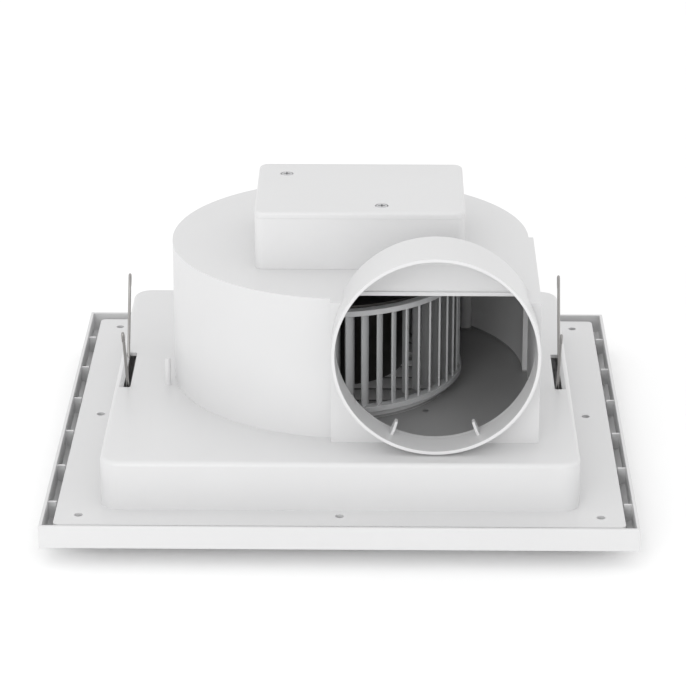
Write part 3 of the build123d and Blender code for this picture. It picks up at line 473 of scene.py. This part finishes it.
# %% Cover: centre plate, ribs, stiffeners and lugs
RIB_HALF = 0.65
STIFFENER_HALF = 0.8
STIFFENER_PITCH = 46
TAB_NEAR, TAB_FAR = 137.5, 139.5
PLATE_HALF = deep - BLADE_THICK - 3
plate = rounded_plan(bm, -PLATE_HALF, PLATE_HALF, -PLATE_HALF, PLATE_HALF, 0.8, 2, 3)
raise_faces(bm, [plate], (0, 0, 2.5))
reach = BLADE_FRONT - BLADE_THICK
for quarter in range(4):
    start = set(bm.verts)
    box(bm, PLATE_HALF - 1, reach, -RIB_HALF, RIB_HALF, 2, 5)
    prism(bm, [(along, -RIB_HALF, z) for along, z in (
        (reach - 3, 5), (reach, 2), (SLOT_HALF + 1, 8), (SLOT_HALF + 1, 10))], (0, 2 * RIB_HALF, 0))
    for step in (-2.5, -1.5, -0.5, 0.5, 1.5, 2.5):
        y = step * STIFFENER_PITCH
        box(bm, 144.1, inner + 0.8, y - STIFFENER_HALF, y + STIFFENER_HALF, border_back(inner) - 1, 20)
    for y in (-100, 100):
        box(bm, TAB_NEAR, TAB_FAR, y - 4, y + 4, border_back(TAB_NEAR) - 1, 18)
    made = [v for v in bm.verts if v not in start]
    bmesh.ops.rotate(bm, verts=made, cent=(0, 0, 0), matrix=Matrix.Rotation(quarter * pi / 2, 3, "Z"))
for side in (-1, 1):
    for lug in (PIVOT_SIDE - 5, PIVOT_SIDE + 5):
        made = box(bm, side * lug - 1, side * lug + 1, -4, 4, border_back(lug) - 1, PIVOT_HEIGHT + 4)
        high = [e for e in edges_of(made) if all(v.co.z > PIVOT_HEIGHT + 3.5 for v in e.verts)]
        soften(bm, [e for e in high if abs(e.verts[0].co.y - e.verts[1].co.y) < 1], 3.0, 5)
make_piece("cover_panel", bm, "cover", "white_abs", ["cover_grille"], bevel=0.35)
print("cover is", round(2 * RIM_HALF), "mm square; its centre plate is", round(2 * PLATE_HALF, 1))

# %% [markdown]
# ## The tray
# The tray is one thin moulding: a flat flange that screws under the ceiling, and a raised plinth
# that carries the fan through the opening. A single sheet suits it. The plan is pulled up, its top
# edge is rounded, and the top is filled again round the inlet, the spring slots and the screws.

# %% Tray: flange, plinth and their holes
FLANGE_BACK = 20.0
FLANGE_HALF = 143.5
HOLE_PITCH = 131.5
PLINTH_HALF = (121.5, 125.0)
INLET_HOLE = 65.1
INLET_SCREW_RING = 71.3
BOSS_RADIUS = 3.5
BOSS_RING = DRUM_RADIUS - WALL - BOSS_RADIUS + 0.6


def inlet_screws():
    """Where the four screws of the inlet ring stand."""
    for quarter in range(4):
        angle = radians(45 + 90 * quarter)
        yield AXIS[0] + INLET_SCREW_RING * cos(angle), AXIS[1] + INLET_SCREW_RING * sin(angle)


def casing_screws():
    """Where the casing's five screws stand: three round the drum, two beside the outlet."""
    for angle in (45, 110, 172):
        yield DRUM[0] + BOSS_RING * cos(radians(angle)), DRUM[1] + BOSS_RING * sin(radians(angle))
    x = OUTLET_LEFT - 14.0
    yield x, DRUM[1] - sqrt(BOSS_RING**2 - (x - DRUM[0]) ** 2)
    yield OUTLET_RIGHT - 4.9, OUTLET_FRONT + 4.9


bm = bmesh.new()
along, across = PLINTH_HALF
plinth = rounded_plan(bm, -along, along, -across, across, 10, FLANGE_BACK)
foot = list(plinth.edges)
(top,) = raise_faces(bm, [plinth], (0, 0, PLINTH_TOP - FLANGE_BACK))
soften(bm, list(top.edges), 2.5, 4)
top = max(bm.faces, key=lambda face: face.calc_center_median().z + face.calc_area() * 0.001)
holes = [ring(bm, INLET_HOLE, *AXIS, PLINTH_TOP, 96)]
for x, y in [*casing_screws(), *inlet_screws()]:
    holes.append(ring(bm, SCREW_HOLE, x, y, PLINTH_TOP, 12))
for x in (-PIVOT_SIDE, PIVOT_SIDE):
    holes.append(rim_of(bm, rounded_plan(bm, x - 3, x + 3, -25, 25, 1, PLINTH_TOP, 3)))
fill(bm, [rim_of(bm, top)] + holes)
plan = rounded_plan(bm, -FLANGE_HALF, FLANGE_HALF, -FLANGE_HALF, FLANGE_HALF, 3, FLANGE_BACK, 4)
flange = rim_of(bm, plan)
screws = [ring(bm, 2.2, HOLE_PITCH * x, HOLE_PITCH * y, FLANGE_BACK, 20)
          for x in (-1, 0, 1) for y in (-1, 0, 1) if x or y]
low = [f for f in bm.faces if f.calc_center_median().z < FLANGE_BACK + 0.01]
bmesh.ops.delete(bm, geom=low, context="FACES_ONLY")
fill(bm, [flange, foot] + screws)
make_piece("tray_shell", bm, "housing", "white_abs", ["housing_tray"], bevel=0.3, wall=WALL)

# %% [markdown]
# ## The peg on the tray
# One short peg beside the drum fixes which way round the casing goes. It is a turned shape: half its
# outline, with a small softened tip, is spun about its own axis.

# %% Tray: the locating peg
PEG_ANGLE = radians(193)
PEG_RING = DRUM_RADIUS + 5
bm = bmesh.new()
turned(bm, [(0, 45), (1.5, 45), (1.5, 60.3), (1.2, 60.8), (0, 61)],
       DRUM[0] + PEG_RING * cos(PEG_ANGLE), DRUM[1] + PEG_RING * sin(PEG_ANGLE),
       close=False, segments=24)
make_piece("tray_peg", bm, "housing", "white_abs", ["housing_tray"], bevel=0.0)

# %% [markdown]
# ## The fan casing
# Air leaves the wheel all round and needs one way out, so the casing is a drum with a square block
# on one side. Its plan is an arc and three straight sides: a point is spun for the arc, and the
# corners are added. The plan is pulled up into a sheet that is open below.

# %% Casing: drum and outlet block
CASING_TOP = 122.0
bm = bmesh.new()
start = bm.verts.new((DRUM[0] + DRUM_RADIUS, DRUM[1], PLINTH_TOP))
meet = DRUM[1] - sqrt(DRUM_RADIUS**2 - (OUTLET_LEFT - DRUM[0]) ** 2)
sweep = 2 * pi + Vector((OUTLET_LEFT - DRUM[0], meet - DRUM[1])).angle_signed(Vector((1, 0)))
bmesh.ops.spin(bm, geom=[start], cent=(*DRUM, 0), axis=(0, 0, 1), angle=sweep, steps=110,
               use_merge=False, use_normal_flip=False, use_duplicate=False)
end = min(bm.verts, key=lambda v: hypot(v.co.x - OUTLET_LEFT, v.co.y - meet))
corners = [end] + [bm.verts.new((x, y, PLINTH_TOP)) for x, y in (
    (OUTLET_LEFT, OUTLET_FRONT), (OUTLET_RIGHT, OUTLET_FRONT), (OUTLET_RIGHT, DRUM[1]))] + [start]
for pair in zip(corners, corners[1:]):
    bm.edges.new(pair)
plan = bmesh.ops.contextual_create(bm, geom=list(bm.edges))["faces"]
(top,) = raise_faces(bm, plan, (0, 0, CASING_TOP - PLINTH_TOP))
print("casing plan:", len(top.edges), "sides")

# %% [markdown]
# ## The casing's mouth
# The duct's round bore is taller than the block, so it runs out through the front and the top. Both
# faces are taken away. The front is filled again round an arc, which is a circle cut off level with
# the top, and the top is filled round a straight notch.

# %% Casing: the mouth, and the hole for the leads
COLLAR = (OUTLET_RIGHT - 53.0, 99.5)  # the duct's axis, sideways and upwards
COLLAR_RADIUS = 52.5
COLLAR_BORE = 50.7
NOTCH_DEPTH = 16
UPRIGHT = Matrix.Rotation(pi / 2, 4, "X")
front = next(f for f in bm.faces if f.calc_center_median().y < OUTLET_FRONT + 0.1)
(lip,) = set(top.edges) & set(front.edges)
left, right = sorted(lip.verts, key=lambda v: v.co.x)
outline = [e for e in front.edges if e is not lip]
plan = [e for e in top.edges if e is not lip]
low = [f for f in bm.faces if f.calc_center_median().z < PLINTH_TOP + 0.01]
bmesh.ops.delete(bm, geom=[top, front, *low], context="FACES_ONLY")
bmesh.ops.delete(bm, geom=[lip], context="EDGES_FACES")
place = Matrix.Translation((COLLAR[0], OUTLET_FRONT, COLLAR[1])) @ UPRIGHT
arc = bmesh.ops.create_circle(bm, segments=96, radius=COLLAR_BORE, matrix=place)["verts"]
arc = bmesh.ops.bisect_plane(bm, geom=[*arc, *edges_of(arc)], plane_co=(0, 0, CASING_TOP),
                             plane_no=(0, 0, 1), clear_outer=True)["geom"]
arc = [part for part in arc if isinstance(part, bmesh.types.BMEdge)]
near = sorted((v for e in arc for v in e.verts if len(v.link_edges) == 1), key=lambda v: v.co.x)
far = [bm.verts.new((v.co.x, OUTLET_FRONT + NOTCH_DEPTH, CASING_TOP)) for v in near]
lips = [bm.edges.new(pair) for pair in ((left, near[0]), (near[1], right))]
notch = [bm.edges.new(pair) for pair in ((near[0], far[0]), far, (far[1], near[1]))]
fill(bm, [outline, lips, arc], normal=(0, -1, 0))
hole = ring(bm, 6.0, AXIS[0] + 17, AXIS[1], CASING_TOP, 32)
fill(bm, [plan, lips, notch, hole])
make_piece("casing_shell", bm, "housing", "white_abs", ["volute_casing"], bevel=0.5, wall=WALL)

# %% [markdown]
# ## Inside the casing
# The tongue is a wall that comes close to the wheel and peels the air off into the outlet. It is a
# thin plan with round ends, pulled up. Each screw from below bites into a short post with a bore.

# %% Casing: the tongue beside the wheel, and the screw bosses
TONGUE_RING = 76.5  # the tongue's end stands this far from the shaft
bm = bmesh.new()
tongue_x = OUTLET_LEFT + WALL / 2
tongue_y = AXIS[1] - sqrt(TONGUE_RING**2 - (tongue_x - AXIS[0]) ** 2)
tongue = rounded_plan(bm, OUTLET_LEFT, OUTLET_LEFT + WALL, OUTLET_FRONT + 1, tongue_y + 1, 0.95,
                      PLINTH_TOP, 6)
raise_faces(bm, [tongue], (0, 0, CASING_TOP - 1 - PLINTH_TOP))
for x, y in casing_screws():
    post = ring(bm, BOSS_RADIUS, x, y, PLINTH_TOP, 24)
    bore = ring(bm, SCREW_HOLE, x, y, PLINTH_TOP, 12)
    raise_faces(bm, fill(bm, [post, bore]), (0, 0, 20))
make_piece("casing_tongue_and_bosses", bm, "housing", "white_abs", ["volute_casing"], bevel=0.2)

# %% [markdown]
# ## The duct collar
# A flexible duct slides over this round collar. It stands taller than the casing, so behind the
# block's front it goes on as a low hump that closes the top of the air path. Tube and hump are
# sheets: a ring pulled back, and a second one that is capped and cut level with the casing's top.

# %% Collar: tube and hump
COLLAR_LENGTH = 18
HUMP_LENGTH = 18
MOUTH_Y = OUTLET_FRONT - COLLAR_LENGTH
bm = bmesh.new()
mouth = ring(bm, COLLAR_RADIUS, COLLAR[0], MOUTH_Y, COLLAR[1], 128, UPRIGHT)
raise_edges(bm, mouth, (0, COLLAR_LENGTH, 0))
make_piece("collar_tube", bm, "housing", "white_abs", ["duct_collar"], bevel=0.35, wall=1.8)

bm = bmesh.new()
place = Matrix.Translation((COLLAR[0], OUTLET_FRONT + HUMP_LENGTH, COLLAR[1])) @ UPRIGHT
bmesh.ops.create_circle(bm, cap_ends=True, segments=128, radius=COLLAR_RADIUS - 0.6, matrix=place)
(cap,) = bm.faces
raise_edges(bm, list(cap.edges), (0, -HUMP_LENGTH, 0))
bmesh.ops.bisect_plane(bm, geom=[*bm.verts, *bm.edges, *bm.faces], plane_co=(0, 0, CASING_TOP),
                       plane_no=(0, 0, -1), clear_outer=True)
make_piece("collar_hump", bm, "housing", "white_abs", ["duct_collar"], bevel=0.4, wall=1.2)

# %% [markdown]
# ## Two fins in the collar
# Two low fins on the floor of the collar stop the duct's end from sliding in too far. Each is a
# small outline, thickened, and swung round the duct's axis so that it stands square on the bore.

# %% Collar: fins
FIN_BACK = 10
FIN_THICK = 1.5
FIN_LEAN = asin(22 / COLLAR_BORE)
bm = bmesh.new()
floor_z = COLLAR[1] - COLLAR_BORE
for lean in (-FIN_LEAN, FIN_LEAN):
    start = set(bm.verts)
    prism(bm, [(COLLAR[0] - FIN_THICK / 2, MOUTH_Y + FIN_BACK + along, floor_z + up)
               for along, up in ((0, -0.9), (0, 2.5), (4, 6), (8, 6), (8, -0.9))], (FIN_THICK, 0, 0))
    bmesh.ops.rotate(bm, verts=[v for v in bm.verts if v not in start], cent=(COLLAR[0], 0, COLLAR[1]),
                     matrix=Matrix.Rotation(lean, 3, "Y"))
make_piece("collar_fins", bm, "housing", "white_abs", ["duct_collar"], bevel=0.25)

# %% [markdown]
# ## The inlet ring
# Air turns the corner into the wheel more quietly over a rounded lip than over a sharp edge. The
# section is a straight throat and a quarter circle, made by spinning one point. That open line is
# turned about the fan's axis and given its wall. A flat ring with four holes is its screwed flange.

# %% Inlet ring
THROAT = 62.5
LIP_RADIUS = 9
FLANGE_FRONT = 42
bm = bmesh.new()
lip = bm.verts.new((AXIS[0] + THROAT, AXIS[1], PLINTH_TOP))
bmesh.ops.spin(bm, geom=[lip], cent=(AXIS[0] + THROAT + LIP_RADIUS, AXIS[1], PLINTH_TOP),
               axis=(0, 1, 0), angle=-pi / 2, steps=8, use_merge=False, use_normal_flip=False,
               use_duplicate=False)
top = bm.verts.new((AXIS[0] + THROAT, AXIS[1], 50.3))
bm.edges.new((top, lip))
bmesh.ops.spin(bm, geom=[*bm.verts, *bm.edges], cent=(*AXIS, 0), axis=(0, 0, 1), angle=2 * pi,
               steps=96, use_merge=True, use_normal_flip=False, use_duplicate=False)
make_piece("inlet_bell", bm, "housing", "white_abs", ["inlet_ring"], bevel=0.2, wall=WALL,
           toward=(0, 0, -1))

bm = bmesh.new()
rings = [ring(bm, THROAT + beyond, *AXIS, FLANGE_FRONT, 96) for beyond in (13, 3.2)]
rings += [ring(bm, SCREW_HOLE, x, y, FLANGE_FRONT, 12) for x, y in inlet_screws()]
raise_faces(bm, fill(bm, rings), (0, 0, WALL))
make_piece("inlet_flange", bm, "housing", "white_abs", ["inlet_ring"], bevel=0.2)

# %% [markdown]
# ## The wheel
# The wheel is a squirrel cage: fifty-one blades between two end rings. Each blade leaves its root
# straight outwards and bends forwards, the way the wheel turns, to throw the air on. Its plan is a
# short edge spun round one arc. The plan is pulled up, and one spin with duplicates sets the rest.

# %% Wheel: blades and end rings
WHEEL = 69.5
BLADES = 51
BLADE_FOOT = 54.1
BLADE_HEIGHT = 51.3
ROOT = 58.9  # the blades' inner radius
BEND = radians(65)
BEND_RADIUS = 9.6 / sin(BEND)
bm = bmesh.new()
root = [bm.verts.new((ROOT, half, BLADE_FOOT)) for half in (-0.55, 0.55)]
bmesh.ops.spin(bm, geom=[*root, bm.edges.new(root)], cent=(ROOT, -BEND_RADIUS, 0), axis=(0, 0, 1),
               angle=-BEND, steps=6, use_merge=False, use_normal_flip=False, use_duplicate=False)
raise_faces(bm, list(bm.faces), (0, 0, BLADE_HEIGHT))
bmesh.ops.spin(bm, geom=[*bm.verts, *bm.edges, *bm.faces], cent=(0, 0, 0), axis=(0, 0, 1),
               angle=2 * pi * (BLADES - 1) / BLADES, steps=BLADES - 1, use_merge=False,
               use_normal_flip=False, use_duplicate=True)
bmesh.ops.translate(bm, vec=(*AXIS, 0), verts=bm.verts)
turned(bm, [(WHEEL, 105), (WHEEL, 108), (58.5, 108), (58.5, 105)], *AXIS)
turned(bm, [(WHEEL + 0.55, 51.5), (WHEEL + 0.55, 54.5), (65, 54.5), (65, 51.5)], *AXIS)
make_piece("wheel_blades", bm, "rotor", "wheel_plastic", ["impeller_blades", "impeller_rings"],
           bevel=0.2, segments=1)

# %% [markdown]
# ## The cup that carries the wheel
# The motor sits inside the wheel to save height. A pressed steel cup reaches round it from the
# shaft and holds the cage by its top ring. It is a turned sheet with rounded bends, and the boss
# that grips the shaft is a second turned shape.

# %% Cup and boss
SHAFT = 3
bm = bmesh.new()
turned(bm, [(SHAFT, 54), (34, 54), (38.6, 54.9), (40.3, 57.2), (43.8, 104.5), (45.0, 107.2),
            (48, 108), (65, 108)], *AXIS, close=False)
make_piece("wheel_cup", bm, "rotor", "zinc_steel", ["impeller_cup"], bevel=0.2, wall=-1.5)
bm = bmesh.new()
turned(bm, [(SHAFT, 45), (8.4, 45), (9, 45.6), (9, 53.0), (10, 54.2), (10, 54.6), (SHAFT, 54.6)],
       *AXIS, segments=48)
make_piece("wheel_boss", bm, "rotor", "zinc_steel", ["impeller_cup"], bevel=0.2)

# %% [markdown]
# ## The nut that holds the wheel
# The shaft's end carries a washer and a nut, which can be seen through the grille. A circle of six
# points is a hexagon: with the shaft's hole left open in it and pulled up, it is a nut.

# %% Hub nut and washer
NUT_FLATS = 11
NUT_FRONT = 38.8
bm = bmesh.new()
hexagon = ring(bm, NUT_FLATS / sqrt(3), *AXIS, NUT_FRONT, 6)
raise_faces(bm, fill(bm, [hexagon, ring(bm, SHAFT, *AXIS, NUT_FRONT, 24)]), (0, 0, 5))
make_piece("wheel_nut", bm, "rotor", "screw_steel", ["hub_nut"], bevel=0.55, segments=3)
bm = bmesh.new()
turned(bm, [(3.1, 43.8), (8, 43.8), (8, 45), (3.1, 45)], *AXIS, segments=48)
make_piece("wheel_washer", bm, "rotor", "screw_steel", ["hub_washer"], bevel=0.25)

# %% [markdown]
# ## The wiring box
# The mains connection has its own box on top. The box is a ring of wall, pulled up from its plan.
# The cable comes in at the back: both faces of that wall are filled again round a ring, and the two
# rings are bridged into a bore.

# %% Wiring box
BOX = (-45.0, 63.5, -49.0, 32.0)
BOX_RIM = 149.5
BOX_TOP = 153.0
GLAND = (46, 135)  # the cable's way in, sideways and upwards
bm = bmesh.new()
outer = rim_of(bm, rounded_plan(bm, *BOX, 5, CASING_TOP))
inside = [BOX[0] + WALL, BOX[1] - WALL, BOX[2] + WALL, BOX[3] - WALL]
hollow = rim_of(bm, rounded_plan(bm, *inside, 3, CASING_TOP))
raise_faces(bm, fill(bm, [outer, hollow]), (0, 0, BOX_RIM - CASING_TOP))
facing = [f for f in bm.faces if abs(f.normal.y) > 0.99 and f.calc_area() > 900]
gland = []
for face in [f for f in facing if f.calc_center_median().y > 0]:
    bore = ring(bm, 6.0, GLAND[0], face.calc_center_median().y, GLAND[1], 32, UPRIGHT)
    gland.append(bore)
    fill(bm, [rim_of(bm, face), bore], normal=(0, 1, 0))
bmesh.ops.bridge_loops(bm, edges=gland[0] + gland[1])
make_piece("box_wall", bm, "housing", "white_abs", ["terminal_box", "gland_plate"], bevel=0.12)

# %% [markdown]
# ## The box's lid
# The lid is a solid plan with a soft top edge. Its top is filled again round two rings, and each
# ring is pushed down and closed, which makes the seat of a sunk screw.

# %% Lid of the wiring box
LID_SCREWS = [(BOX[0] + 15, BOX[3] - 17.5), (BOX[1] - 43, BOX[2] + 11.5)]
SEAT_RADIUS = 3.5
SEAT_DEPTH = 2.2
bm = bmesh.new()
lid = rounded_plan(bm, *BOX, 5, BOX_RIM)
(top,) = raise_faces(bm, [lid], (0, 0, BOX_TOP - BOX_RIM))
soften(bm, list(top.edges), 1.5, 4)
top = max((f for f in bm.faces if f.normal.z > 0.99), key=lambda f: f.calc_area())
seats = [ring(bm, SEAT_RADIUS, x, y, BOX_TOP, 32) for x, y in LID_SCREWS]
fill(bm, [rim_of(bm, top)] + seats)
for seat in seats:
    bottom = raise_edges(bm, seat, (0, 0, -SEAT_DEPTH))
    bmesh.ops.contextual_create(bm, geom=bottom)
make_piece("box_lid", bm, "housing", "white_abs", ["terminal_box_lid"], bevel=0.12)

# %% [markdown]
# ## The springs
# Two V springs hold the cover up. Their arms press against the ceiling side of the slots and pull
# the cover home. A spring is one drawn wire: a coil round its pin, and two arms that leave the coil
# at a tangent and end in a small eye. A wire is a curve with a round section, made into a mesh.

# %% A wire from a row of points
WIRE = 0.8  # the wire's radius


def wire(name, points, body, nodes):
    """A drawn wire through these points, in millimetres."""
    curve = bpy.data.curves.new(name + "_line", "CURVE")
    curve.dimensions = "3D"
    curve.bevel_depth = WIRE * MM
    curve.bevel_resolution = 4
    curve.use_fill_caps = True
    curve.resolution_u = 6
    line = curve.splines.new("NURBS")
    line.points.add(len(points) - 1)
    for point, place in zip(line.points, points):
        point.co = (*(c * MM for c in place), 1)
    line.order_u = 3
    line.use_endpoint_u = True
    holder = bpy.data.objects.new(name + "_line", curve)
    mesh = bpy.data.meshes.new_from_object(holder)
    bpy.data.objects.remove(holder)
    bm = bmesh.new()
    bm.from_mesh(mesh)
    bmesh.ops.scale(bm, vec=(1 / MM, 1 / MM, 1 / MM), verts=bm.verts)
    make_piece(name, bm, body, "spring_steel", nodes, bevel=0.0)


print("wire is", 2 * WIRE, "mm thick")

# %% [markdown]
# ## Two coils and four arms
# The coil rides on the cover, and each arm on a body of its own that swings as the cover comes down.
# An arm's points are laid out along its own line and across it, and then leaned over.

# %% Springs
COIL = 3.4  # radius of the coil
COIL_WIDTH = 3.4
COIL_TURNS = 3
TURN_STEPS = 12
LEAN = radians(31.2)
REACH = 73 / cos(LEAN)


def arm_point(x, end, along, across):
    """A point of an arm, given along its line and across it."""
    y = end * (along * sin(LEAN) + across * cos(LEAN))
    return x, y, PIVOT_HEIGHT + along * cos(LEAN) - across * sin(LEAN)


eye = [(REACH - 4 + 3.2 * cos(radians(a)), 1.2 + 1.2 * sin(radians(a))) for a in range(-90, 221, 30)]
line = [(0, COIL), (6, COIL), (20, COIL * 0.7), (REACH * 0.5, COIL * 0.4), (REACH - 14, 0.5), (REACH - 8, 0)]
for side, word in ((-1, "left"), (1, "right")):
    turns = []
    for step in range(COIL_TURNS * TURN_STEPS + 1):
        angle = 2 * pi * step / TURN_STEPS
        x = side * PIVOT_SIDE - COIL_WIDTH / 2 + COIL_WIDTH * step / (COIL_TURNS * TURN_STEPS)
        turns.append((x, COIL * cos(angle), PIVOT_HEIGHT + COIL * sin(angle)))
    wire(f"spring_coil_wire_{word}", turns, "cover", [f"spring_coil_{word}"])
    for end, name in ((1, "back"), (-1, "front")):
        x = side * (PIVOT_SIDE + end * 1.5)
        arm = f"spring_arm_{word}_{name}"
        wire(f"spring_wire_{word}_{name}", [arm_point(x, end, *place) for place in line + eye], arm, [arm])

# %% [markdown]
# ## The rest of the frame
# Screws, the motor, the wiring and the gland already have their true shapes in the engineering
# model, so they stay. Each takes the finish that its material slot names in the record.

# %% Dress the remaining nodes
slot_of = {row["node"]: row["material_slot"] for row in frame["record"]["subparts"]}
for name, node in frame["nodes"].items():
    node.data.materials.clear()
    node.data.materials.append(finishes[slot_of[name]])
print("dressed", sum(not node.hide_render for node in frame["nodes"].values()), "nodes as they are")

# %% [markdown]
# ## Floor, light and camera
# A white product on a white floor lives by its soft shadows. A pale world lights it from all sides,
# a large light in front opens up the duct's mouth, and a weak one overhead lifts the top faces.

# %% Floor
bm = bmesh.new()
bmesh.ops.create_grid(bm, x_segments=1, y_segments=1, size=30)
mesh = bpy.data.meshes.new("floor")
bm.to_mesh(mesh)
bm.free()
floor = bpy.data.objects.new("floor", mesh)
bpy.context.scene.collection.objects.link(floor)
paper = Finish("paper", Roughness=0.9, Emission_Color=(1, 1, 1, 1), Emission_Strength=0.06)
paper.feed(Base_Color=paper.blend(paper.noise(0.7), (0.96, 0.96, 0.96, 1), (0.98, 0.98, 0.98, 1)))
mesh.materials.append(paper.material)
print("floor laid")

# %% [markdown]
# ## The lights
# The world gives most of the light, so shadows stay pale. Both lamps are large squares, because a
# small lamp would draw hard edges on a soft white product.

# %% World and lamps
world = bpy.data.worlds.new("studio")
world.use_nodes = True
world.node_tree.nodes["Background"].inputs["Color"].default_value = (1.0, 1.0, 1.0, 1)
world.node_tree.nodes["Background"].inputs["Strength"].default_value = 0.97
bpy.context.scene.world = world
bpy.context.scene.view_settings.view_transform = "Standard"


def lamp(name, place, target, size, power):
    """A square area light that looks at a point."""
    light = bpy.data.lights.new(name, "AREA")
    light.size = size
    light.energy = power
    holder = bpy.data.objects.new(name, light)
    holder.location = place
    holder.rotation_euler = (Vector(target) - Vector(place)).to_track_quat("-Z", "Y").to_euler()
    bpy.context.scene.collection.objects.link(holder)


lamp("overhead", (-0.3, 0.1, 1.6), (0, 0, 0.05), 1.2, 0.8)
lamp("front", (-0.5, -1.7, 0.7), (0, 0, 0.08), 0.9, 7.0)

# %% [markdown]
# ## The camera
# A long lens from far off keeps the cover's sides nearly parallel, as in a catalogue picture. The
# camera looks down by about twenty-two degrees, so the tops of tray and casing can be seen.

# %% Camera
camera = bpy.data.objects.new("camera", bpy.data.cameras.new("camera"))
camera.data.lens = 163
camera.data.clip_end = 50
camera.location = (0.021, -1.555, 0.672)
camera.rotation_euler = (Vector((0.0, 0.0, 0.062)) - camera.location).to_track_quat("-Z", "Y").to_euler()
bpy.context.scene.collection.objects.link(camera)
bpy.context.scene.camera = camera
print("camera lens:", camera.data.lens, "mm")
